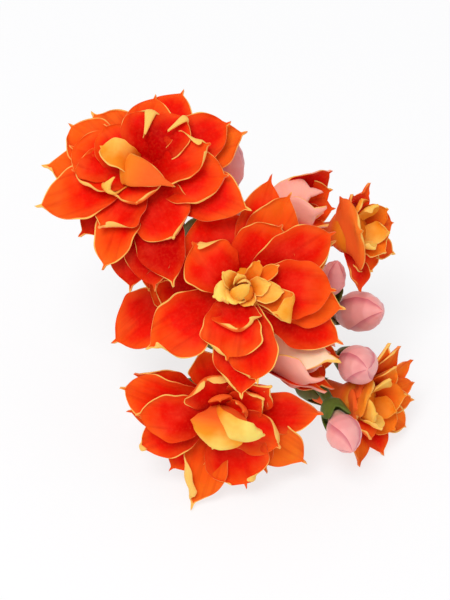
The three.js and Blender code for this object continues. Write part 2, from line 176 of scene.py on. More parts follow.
def hex_colour(code):
    """An sRGB hex colour as linear red, green, blue and full cover."""
    parts = [int(code[i : i + 2], 16) / 255 for i in (1, 3, 5)]
    linear = [p / 12.92 if p <= 0.04045 else ((p + 0.055) / 1.055) ** 2.4 for p in parts]
    return (*linear, 1.0)


def node(tree, kind, links=None, out=0, **settings):
    """Adds one node and returns one of its outputs. Links are sockets, plain values or colours."""
    made = tree.nodes.new("ShaderNode" + kind)
    for name, value in settings.items():
        setattr(made, name, value)
    for key, value in (links or {}).items():
        if isinstance(value, bpy.types.NodeSocket):
            tree.links.new(value, made.inputs[key])
        elif isinstance(value, str):
            made.inputs[key].default_value = hex_colour(value)
        else:
            made.inputs[key].default_value = value
    return made.outputs[out] if made.outputs else made


def material_of(name, recipe, *choices):
    """A material whose surface has the settings that a recipe gives back."""
    material = bpy.data.materials.new(name)
    material.use_nodes = True
    tree = material.node_tree
    tree.nodes.clear()
    surface = node(tree, "BsdfPrincipled", recipe(tree, *choices))
    node(tree, "OutputMaterial", {"Surface": surface})
    print(name, "has", len(tree.nodes), "nodes")
    return material


print("the orange-red of a petal in linear light:", [round(v, 3) for v in hex_colour("#F21602")])

# %% [markdown]
# ## The flesh of a petal
# A kalanchoe petal is living tissue, thin and full of sap, with a skin of tiny domed cells. That
# skin gives a soft satin rather than a gloss, pales where the eye skims along it, and lets light in
# that comes out redder. Its colours could be painted on an image, but then every petal would need
# its own. Instead each point of a petal knows how far along and across it is, how far it is from
# the margin, which side it is on, how much it curls there, how deep in the flower it grows, its
# petal's tone, which on a few petals also holds painted shade, and its gilding. Those numbers and
# five patterns, each with a real size, are all that the material reads.

# %% What a petal's colours are made from
CELL_MM = 0.09  # the domed cells are near 0.03 mm, drawn three times as coarse so that they show
CLOUD_MM = 3.0  # from one pale patch of a petal to the next, some of them painted sheen
PATCH_MM = 4.5  # over which the yellow margin widens and narrows
SPECK_MM = 0.28  # the grain of the colour
STREAK_MM = 0.6  # from one faint vein to the next
STREAK_RUN = 1.6  # how many times a vein pales and darkens on its way to the tip
STREAK_APART = 90.0  # so that petals of nearly the same tone have different veins
PETAL_MARKS = ("along", "margin", "back", "depth", "tone", "across", "gold", "curl")


def petal_fields(tree):
    """The numbers that a petal's points carry, and the patterns in its flesh."""
    fields = {mark: node(tree, "Attribute", attribute_name=mark, out="Fac") for mark in PETAL_MARKS}
    petal = SimpleNamespace(**fields)
    place = node(tree, "TexCoord", out="Object")
    petal.cloud, petal.patch, petal.speck = [
        node(tree, "TexNoise", {"Vector": place, "Scale": 1 / (size * MM), "Detail": detail}, "Fac")
        for size, detail in ((CLOUD_MM, 3.0), (PATCH_MM, 2.0), (SPECK_MM, 3.0))
    ]
    petal.cells = node(tree, "TexVoronoi", {"Vector": place, "Scale": 1 / (CELL_MM * MM)})

    # Faint veins run the length of the petal and drift a little.
    fan = node(tree, "Math", {0: petal.across, 1: 1 / STREAK_MM}, operation="MULTIPLY")
    run = node(tree, "Math", {0: petal.along, 1: STREAK_RUN}, operation="MULTIPLY")
    seed = node(tree, "Math", {0: petal.tone, 1: STREAK_APART}, operation="MULTIPLY")
    drift = node(tree, "CombineXYZ", {"X": fan, "Y": run, "Z": seed})
    petal.streak = node(tree, "TexNoise", {"Vector": drift, "Scale": 1.0, "Detail": 2.0}, "Fac")
    return petal


print("marks on each point of a petal:", ", ".join(PETAL_MARKS))

# %% [markdown]
# ## The face of a petal
# The face is deep red at its root, partly its own colour and partly painted shade where the petals
# crowd into the throat, and turns orange-red outward. Over that lie five thin tints, each brought in
# by one measure or pattern, from an orange glow at the palest places, through pale patches of painted
# sheen, to a darker line along each vein. The inner petals are gilded as well. One gradient from root
# to tip would be simpler, but it looks like enamel, because living colour is never the same in two
# places.

# %% Face and gilding
BAND_MM = 1.4  # a warmer band inside the margin


def golden_flesh(tree, petal):
    """Orange where a petal is little gilded, pale yellow where it is most."""
    gilt = node(tree, "Math", {0: petal.gold, 1: 0.5, 2: petal.cloud}, operation="MULTIPLY_ADD")
    gilt = node(tree, "MapRange", {"Value": gilt, "From Min": 0.8, "From Max": 1.35})
    return node(tree, "Mix", {"Factor": gilt, COLOUR_A: "#F79A22", COLOUR_B: "#FFDE70"}, **COLOURS)


def petal_face(tree, petal, golden):
    """The upper side: deep red at the root, partly painted shade, turning orange-red outward."""
    outward = node(tree, "Math", {0: petal.cloud, 1: 0.7, 2: petal.along}, operation="MULTIPLY_ADD")
    outward = node(tree, "Math", {0: outward, 1: petal.tone}, operation="ADD")
    bloom = node(tree, "MapRange", {"Value": outward, "From Min": 0.4, "From Max": 1.25}, **EASED)
    # The deep red at the root is partly the petal's own colour and partly painted shade where the petals
    # crowd into the throat.
    face = node(tree, "Mix", {"Factor": bloom, COLOUR_A: "#BE0000", COLOUR_B: "#F21602"}, **COLOURS)
    band = {"Value": petal.margin, "From Max": BAND_MM, "To Min": 0.6, "To Max": 0.0}
    band = node(tree, "MapRange", band, **EASED)
    band = node(tree, "Math", {0: band, 1: bloom}, operation="MULTIPLY")
    tints = (  # what brings it in, where it begins, where it is full, how much it covers
        (outward, 1.1, 1.9, 1.0, "#F8781A"),  # an orange glow
        (petal.cloud, 0.5, 0.72, 0.2, "#F5583A"),  # painted sheen: pale pinkish patches where the skin catches the light
        (band, 0.0, 1.0, 1.0, "#F7641A"),  # the warmer band inside the margin
        (petal.streak, 0.48, 0.8, 0.4, "#C00402"),  # veins
        (petal.speck, 0.45, 0.85, 0.25, "#F64A28"),  # grain
    )
    for source, begins, full, cover, tint in tints:
        reach = {"Value": source, "From Min": begins, "From Max": full, "To Max": cover}
        face = {"Factor": node(tree, "MapRange", reach), COLOUR_A: face, COLOUR_B: tint}
        face = node(tree, "Mix", face, **COLOURS)
    return node(tree, "Mix", {"Factor": petal.gold, COLOUR_A: face, COLOUR_B: golden}, **COLOURS)


print("a warmer band reaches", BAND_MM, "mm in from the margin")

# %% [markdown]
# ## The back and the margin
# The back is salmon pink on the outer petals and orange to golden on the inner ones. The margin is
# yellow for about a tenth of a millimetre, here more and there less, and so is all that rolls over
# close to it. Each point knows its distance from the margin, so the yellow follows every ripple of
# the outline. An image laid over the petal would have to be cut anew for each one.

# %% Back and margin
MARGIN_MM = 0.05  # the yellow margin where it is widest, before it fades
NO_MARGIN_MM = -0.16  # and where it is narrowest, so that even its fade is gone
FADE_MM = 0.1  # over which it fades into the face
WARM_MARGIN = 0.1  # how much wider it is, in millimetres, on the warmest petals


def petal_back(tree, petal, golden, pale, deep, golden_from):
    """The under side: pale to deep in clouds, and orange to golden from a layer on."""
    outer = node(tree, "Mix", {"Factor": petal.cloud, COLOUR_A: deep, COLOUR_B: pale}, **COLOURS)
    cream = node(tree, "MapRange", {"Value": petal.tone, "From Min": 0.3, "From Max": 1.0})
    outer = node(tree, "Mix", {"Factor": cream, COLOUR_A: outer, COLOUR_B: "#FFD9B6"}, **COLOURS)
    inner = node(tree, "Mix", {"Factor": petal.gold, COLOUR_A: "#F26426", COLOUR_B: golden}, **COLOURS)
    within = {"Value": petal.depth, "From Min": golden_from - 0.5, "From Max": golden_from}
    back = {"Factor": node(tree, "MapRange", within), COLOUR_A: outer, COLOUR_B: inner}
    return node(tree, "Mix", back, **COLOURS)


def petal_margin(tree, petal):
    """How much of the margin's colour a point has, and that colour: orange, yellow where it is ripe."""
    wide = {"Value": petal.patch, "From Min": 0.36, "From Max": 0.62}
    wide = node(tree, "MapRange", {**wide, "To Min": NO_MARGIN_MM, "To Max": MARGIN_MM})
    wide = node(tree, "Math", {0: petal.tone, 1: WARM_MARGIN, 2: wide}, operation="MULTIPLY_ADD")
    inside = node(tree, "Math", {0: petal.margin, 1: wide}, operation="SUBTRACT")
    edge = {"Value": inside, "From Max": FADE_MM, "To Min": 1.0, "To Max": 0.0}
    edge = node(tree, "MapRange", edge, **EASED)
    rolled = node(tree, "MapRange", {"Value": petal.curl, "From Min": 0.45, "From Max": 0.8}, **EASED)
    rolled = node(tree, "Math", {0: rolled, 1: petal.back}, operation="MULTIPLY")
    edge = node(tree, "Math", {0: edge, 1: rolled}, operation="MAXIMUM")
    ripe = node(tree, "MapRange", {"Value": petal.patch, "From Min": 0.4, "From Max": 0.6})
    ripe = node(tree, "Math", {0: ripe, 1: rolled}, operation="MAXIMUM")
    gilded = node(tree, "MapRange", {"Value": petal.gold, "From Max": 0.3})
    ripe = node(tree, "Math", {0: ripe, 1: gilded}, operation="MAXIMUM")
    yellow = {"Factor": ripe, COLOUR_A: "#F4602A", COLOUR_B: "#FFC566"}
    return edge, node(tree, "Mix", yellow, **COLOURS)


print("a yellow margin is up to", round(MARGIN_MM + FADE_MM, 2), "mm wide with its fade")

# %% [markdown]
# ## Satin
# The domed cells scatter what a smooth skin would mirror, so the petal has hardly any highlight and
# a faint sheen instead. The cells stand up and the veins are a little sunk. Light that enters the
# sap comes out redder a little way off. Three finishes come from one recipe, because the backs
# differ: layers are counted from the outermost, 0, and the backs are golden from the middle layers
# on in the front flowers, from the first in the side ones and never in the half-open ones.

# %% Petal material
PETAL_IOR = 1.42  # watery plant tissue
CELL_HIGH = 0.03  # how far the domed cells stand up, in millimetres


def petal_satin(tree, back_pale, back_deep, golden_from):
    """Living petal. The colours are of an outer petal's back, golden from a layer on."""
    petal = petal_fields(tree)
    golden = golden_flesh(tree, petal)
    face = petal_face(tree, petal, golden)
    back = petal_back(tree, petal, golden, back_pale, back_deep, golden_from)
    flesh = node(tree, "Mix", {"Factor": petal.back, COLOUR_A: face, COLOUR_B: back}, **COLOURS)
    edge, yellow = petal_margin(tree, petal)
    colour = {"Factor": edge, COLOUR_A: flesh, COLOUR_B: yellow}
    rough = node(tree, "Math", {0: petal.cloud, 1: 0.16, 2: 0.42}, operation="MULTIPLY_ADD")
    relief = node(tree, "Math", {0: petal.streak, 1: -2.5, 2: petal.cells}, operation="MULTIPLY_ADD")
    return {
        "Base Color": node(tree, "Mix", colour, **COLOURS),
        "Roughness": rough,
        "IOR": PETAL_IOR,
        "Specular IOR Level": 0.04,  # the domed cells trap light
        "Subsurface Weight": 0.15,
        "Subsurface Radius": (1.0, 0.3, 0.1),
        "Subsurface Scale": 0.4 * MM,
        "Sheen Weight": 0.02,  # the skin pales where it is skimmed
        "Sheen Roughness": 0.5,
        "Sheen Tint": "#FFB08C",
        "Normal": node(tree, "Bump", {"Strength": 0.35, "Distance": CELL_HIGH * MM, "Height": relief}),
    }


INNER_LAYERS, ALL_LAYERS, NO_LAYER = 1.5, -1.0, 9.0  # where the golden backs begin
SALMON, PINK = ("#F0926A", "#E2502C"), ("#FFBEAC", "#F79C8A")
petal_open = material_of("kalanchoe_petal", petal_satin, *SALMON, INNER_LAYERS)
petal_side = material_of("kalanchoe_petal_orange_backed", petal_satin, *SALMON, ALL_LAYERS)
petal_closed = material_of("kalanchoe_petal_pink_backed", petal_satin, *PINK, NO_LAYER)

# %% [markdown]
# ## The outline and the middle line of a petal
# A petal starts as a narrow claw in the throat, swells to its full breadth past the middle and runs
# out to a point. Its middle line is a smooth curve with a slope at its root and a slope at its tip.
# Such a curve could be drawn by hand for each petal, but its reach, its rise and the two slopes are
# easier to judge, so they make the curve. Only petals that roll over the heart need more.

# %% Petal outline and middle line
WIDEST = 0.6  # where along it a petal is widest
CLAW = 0.4  # breadth of its root, as a part of its widest
SWELLING = 1.1  # how slowly it swells from its claw
SHOULDER = 2.4  # how long it keeps its breadth past its widest, 1 being not at all
DEPART = 0.4  # how far its curve keeps to the slope of its root, as a part of its length
ARRIVE = 0.45  # and to the slope of its tip
ROOTS = [(1.5, -0.6), (1.2, 0.0), (0.9, 0.5), (0.5, 0.8)]  # radius and height, by layer


def breadth(u, blunt, claw=CLAW):
    """Half the breadth at u along the petal, as a part of its widest."""
    if u < WIDEST:
        return claw + (1 - claw) * math.sin(u / WIDEST * math.pi / 2) ** SWELLING
    return max(1 - ((u - WIDEST) / (1 - WIDEST)) ** SHOULDER, 0.0) ** blunt


def bezier(a, b, c, d, u):
    """A point of the curve, and the way that it runs there."""
    w = 1 - u
    spot = a * w**3 + b * 3 * w * w * u + c * 3 * w * u * u + d * u**3
    going = (b - a) * w * w + (c - b) * 2 * w * u + (d - c) * u * u
    return spot, going.normalized()


def middle_line(spot, row, extra):
    """The four points of the curve that a petal's middle follows, and the way across it."""
    layer, turn, reach, rise, _, lift, tip = row[:7]
    throat, across, up, out = spot
    angle, lift, tip = math.radians(turn), math.radians(lift), math.radians(tip)
    away = across * math.cos(angle) + up * math.sin(angle)
    side = out.cross(away)
    r0, z0 = ROOTS[layer]
    chord = math.hypot(reach - r0, rise - z0)
    leave = (r0 + DEPART * chord * math.cos(lift), z0 + DEPART * chord * math.sin(lift))
    arrive = (reach - ARRIVE * chord * math.cos(tip), rise - ARRIVE * chord * math.sin(tip))
    leave, arrive = extra.get("via", (leave, arrive))
    sway = extra.get("sway", 0.0)
    corners = [(r0, 0.0, z0), (leave[0], 0.0, leave[1]), (arrive[0], DEPART * sway, arrive[1])]
    corners.append((reach, sway, rise))
    return [throat + away * r + side * s + out * z for r, s, z in corners], side


widest = max(range(101), key=lambda percent: breadth(percent / 100, 0.75))
print("a petal is widest", widest, "% of the way along it")

# %% [markdown]
# ## What sets one petal apart
# No two petals wave, roll and bend alike. A petal's row says what the eye can tell of it, and the
# rest is drawn by lot, from a seed that stays the same, so that the flower grows the same way each
# time. Rows could say everything, but most of it is too slight to be told by eye.

# %% Habit of a petal
TAIL = (0.945, 0.15)  # where the blade runs out into a little point, and half the breadth there
BLUNT = [(0.75, 1.1), (0.55, 0.85), (0.5, 0.7), (0.5, 0.7)]  # outer petals are more pointed


def petal_habit(layer, wide, extra, draw):
    """What sets one petal apart: what its row says, and the rest by lot. Angles are in degrees."""
    habit = {
        "blunt": draw.uniform(*BLUNT[layer]),
        "hook": (draw.uniform(0, 40), 0.88, 1.0),  # how far its tip bends, between which stations
        "twist": draw.uniform(-7, 7),
        "rock": [draw.uniform(0, 2 * math.pi) for _ in range(6)],  # where its ripples begin
        "tone": draw.uniform(-0.15, 0.15),
        "wave": draw.uniform(0.1, 0.3) * wide / 5,  # a broad petal waves more
        "rolls": [  # on which side, where, over how much of it, and how far its margin rolls
            (draw.choice((-1, 1)), draw.uniform(0.5, 0.9), 0.18, draw.uniform(0, 40)),
            (draw.choice((-1, 1)), draw.uniform(0.8, 0.95), 0.09, draw.uniform(10, 70)),
        ],
    }
    plain = {"tail": TAIL, "claw": CLAW, "curls": [], "gold": (0.0, 0.0), "warm": 0.0}
    return SimpleNamespace(**(habit | plain | extra))


trial_habit = petal_habit(0, 5.0, {}, random.Random(0))
print("one petal's two rolls, in degrees:", [round(far) for *_, far in trial_habit.rolls])

# %% [markdown]
# ## The blade
# Across, a petal is a shallow trough whose margins lift, wave and end in a small rolled lip, and its
# outline ripples a little. Each of these adds its part to the slope of the blade, and the blade is
# walked outward from its middle by that slope. That keeps its breadth the same however far it rolls,
# where heights added to a flat strip would stretch it.

# %% Blade of a petal
TROUGH = 0.2  # how far the middle lies below the margins
CREASE = 0.03  # and how much further right along the middle line
LIP_ROLL = math.radians(6)  # how far every margin rolls up
STRIP = 0.3  # how much of the margin rolls, and how much more the further it does
STRIP_GROWS = 0.9
STRIP_MOST = 0.8  # but never more of half the breadth than this
ROLL_EASE = 0.9  # how evenly the roll grows across the strip, 1 being evenly
OPENS = 0.3  # the part of its length over which a blade opens out of its claw
RIPPLE = 0.05  # how far the outline swings in and out, as a part of half the breadth
SLOW, QUICK, SEA = 8, 23, 9  # radians that two ripples and a wave run through along a petal


def bump_at(u, middle, spread):
    """1 at the middle, and less and less to either side."""
    return math.exp(-(((u - middle) / spread) ** 2))


def half_section(half, columns, roll, wave, opened):
    """From a blade's middle to one margin: how far across, how high, the slope and how far along."""
    points = [(0.0, -TROUGH * opened - CREASE, 0.0, 0.0, half)]
    strip = min(STRIP + STRIP_GROWS * roll / math.pi, STRIP_MOST * half)
    x, y, before = 0.0, -TROUGH * opened, 0.0
    for i in range(1, columns + 1):
        s = half * math.sin(i / columns * math.pi / 2)  # columns crowd toward the margin
        middle = (s + before) / 2
        slope = 2 * TROUGH * opened * middle / half**2  # of a trough that rises with the square
        slope += roll * max(0.0, (middle - half + strip) / strip) ** ROLL_EASE
        slope += 3 * wave * (middle / half) ** 2 / half  # of a wave that rises with the cube
        x += math.cos(slope) * (s - before)
        y += math.sin(slope) * (s - before)
        points.append((x, y, slope, s, half - s))
        before = s
    return points


def whole_section(u, half, habit, columns):
    """From margin to margin, and how far the blade has opened out of its claw there."""
    opened = min(1.0, u / OPENS) * min(1.0, half)
    section = []
    for sign, start in ((1, 0), (-1, 1)):
        slow, quick, sea = habit.rock[start::2]
        ripple = 1 + RIPPLE * math.sin(SLOW * u + slow) + RIPPLE / 2 * math.sin(QUICK * u + quick)
        roll = LIP_ROLL + sum(
            math.radians(far) * bump_at(u, middle, spread)
            for side, middle, spread, far in habit.rolls + habit.curls
            if side == sign
        )
        wavy = habit.wave * math.sin(SEA * u + sea)
        points = half_section(half * ripple, columns, roll * opened, wavy * opened, opened)
        points = [(sign * x, y, sign * a, sign * off, rim) for x, y, a, off, rim in points]
        section = points[::-1] if sign > 0 else section + points[1:]
    return section, opened


trial_blade, _ = whole_section(WIDEST, 2.5, trial_habit, 12)
spans = round(trial_blade[0][0] - trial_blade[-1][0], 2)
print("a blade 5 mm broad has", len(trial_blade), "points across and spans", spans, "mm")

# %% [markdown]
# ## One petal
# Drawing a petal as rings across its middle line gives both faces and the rounded margin at once,
# where a solidify modifier would leave a square edge that catches the light like paper. A tip that
# bends is turned station by station, and the middle line is walked anew from there.

# %% Petal shape
BLADE = 0.3  # thickness along the middle
LIP = 0.1  # thickness at the margin
SHINGLE = math.radians(7)  # each petal is tipped a little, one margin over its neighbour's
RAISED = 0.1  # how far a blade stands over its middle line, as a part of half its breadth
CRUMPLE = 0.14  # soft dents in the blade, and how far they are from one another
CRUMPLE_RUN = 1.7
CRUMPLE_APART = 10  # so that no two petals share their dents
THINNING = 4  # how late a blade thins toward its margin, 1 being all the way from its middle
CROWDING = 0.8  # under 1, stations crowd toward the tip, where a petal bends most
THREAD = 0.02  # half the breadth at its very end
TIP_MARGIN = 0.8  # the tip counts as margin too, a little further in than the sides do


def grow_petal(growth, spot, row, draw, fine):
    """Adds one petal: layer, turn, reach, rise, width, slope at root, slope at tip, and extras."""
    layer, wide = row[0], row[4]
    extra = row[7] if len(row) > 7 else {}
    line, side = middle_line(spot, row, extra)
    chord = sum((b - a).length for a, b in zip(line, line[1:]))
    habit = petal_habit(layer, wide, extra, draw)
    # The extra for warmth turns a petal toward orange; below zero it darkens the petal as painted shade.
    tone = habit.tone + habit.warm
    tail_from, tail = habit.tail
    hook, hook_from, hook_done = habit.hook
    hook, twist = math.radians(hook), math.radians(habit.twist)
    gold_root, gold_tip = habit.gold
    steps, columns = fine
    middle, rings, marks = None, [], []
    for s in range(steps):
        u = (s / steps) ** CROWDING
        here, going = bezier(*line, u)
        if middle is None:
            middle = here
        level = (side - going * side.dot(going)).normalized()
        tilt = SHINGLE + twist * u
        wing = level * math.cos(tilt) + going.cross(level) * math.sin(tilt)
        upright = going.cross(wing)
        bend = hook * min(max(0.0, (u - hook_from) / (hook_done - hook_from)), 1.0)
        if s:
            step = here - before
            middle = middle + step * math.cos(bend) + upright * step.length * math.sin(bend)
        before = here
        face = upright * math.cos(bend) - going * math.sin(bend)
        half = wide / 2 * breadth(min(u / tail_from, 1.0), habit.blunt, habit.claw)
        half = max(half, tail * min(1.0, (1 - u) / (1 - tail_from)), THREAD)
        section, opened = whole_section(u, half, habit, columns)
        ring, ring_marks = [], []
        for back in (0, 1):
            for x, y, slope, off, rim in reversed(section) if back else section:
                dent = Vector((off / CRUMPLE_RUN, u * chord / CRUMPLE_RUN, habit.rock[0] * CRUMPLE_APART))
                y += CRUMPLE * opened * noise.noise(dent)
                part = abs(off) / (abs(off) + rim)
                thick = LIP + (BLADE - LIP) * (1 - part**THINNING)
                x += math.sin(slope) * thick * back
                y -= math.cos(slope) * thick * back
                ring.append(middle + wing * x + face * (RAISED * half + y))
                rim = min(rim, (1 - u) * chord * TIP_MARGIN)
                curl = min(1.0, (abs(slope) + bend) / (math.pi / 2))
                gold = gold_root + (gold_tip - gold_root) * u
                ring_marks.append((u, rim, back, layer, tone, off, gold, curl))
        rings.append(ring)
        marks.append(ring_marks)
    step = line[-1] - before
    end = middle + step * math.cos(hook) + upright * step.length * math.sin(hook)
    growth.skin(rings, marks, tip=(end, (1.0, 0.0, 0.5, layer, tone, 0.0, gold_tip, 0.5)))


print("a petal is", BLADE, "mm thick along its middle and", LIP, "mm at its margin")
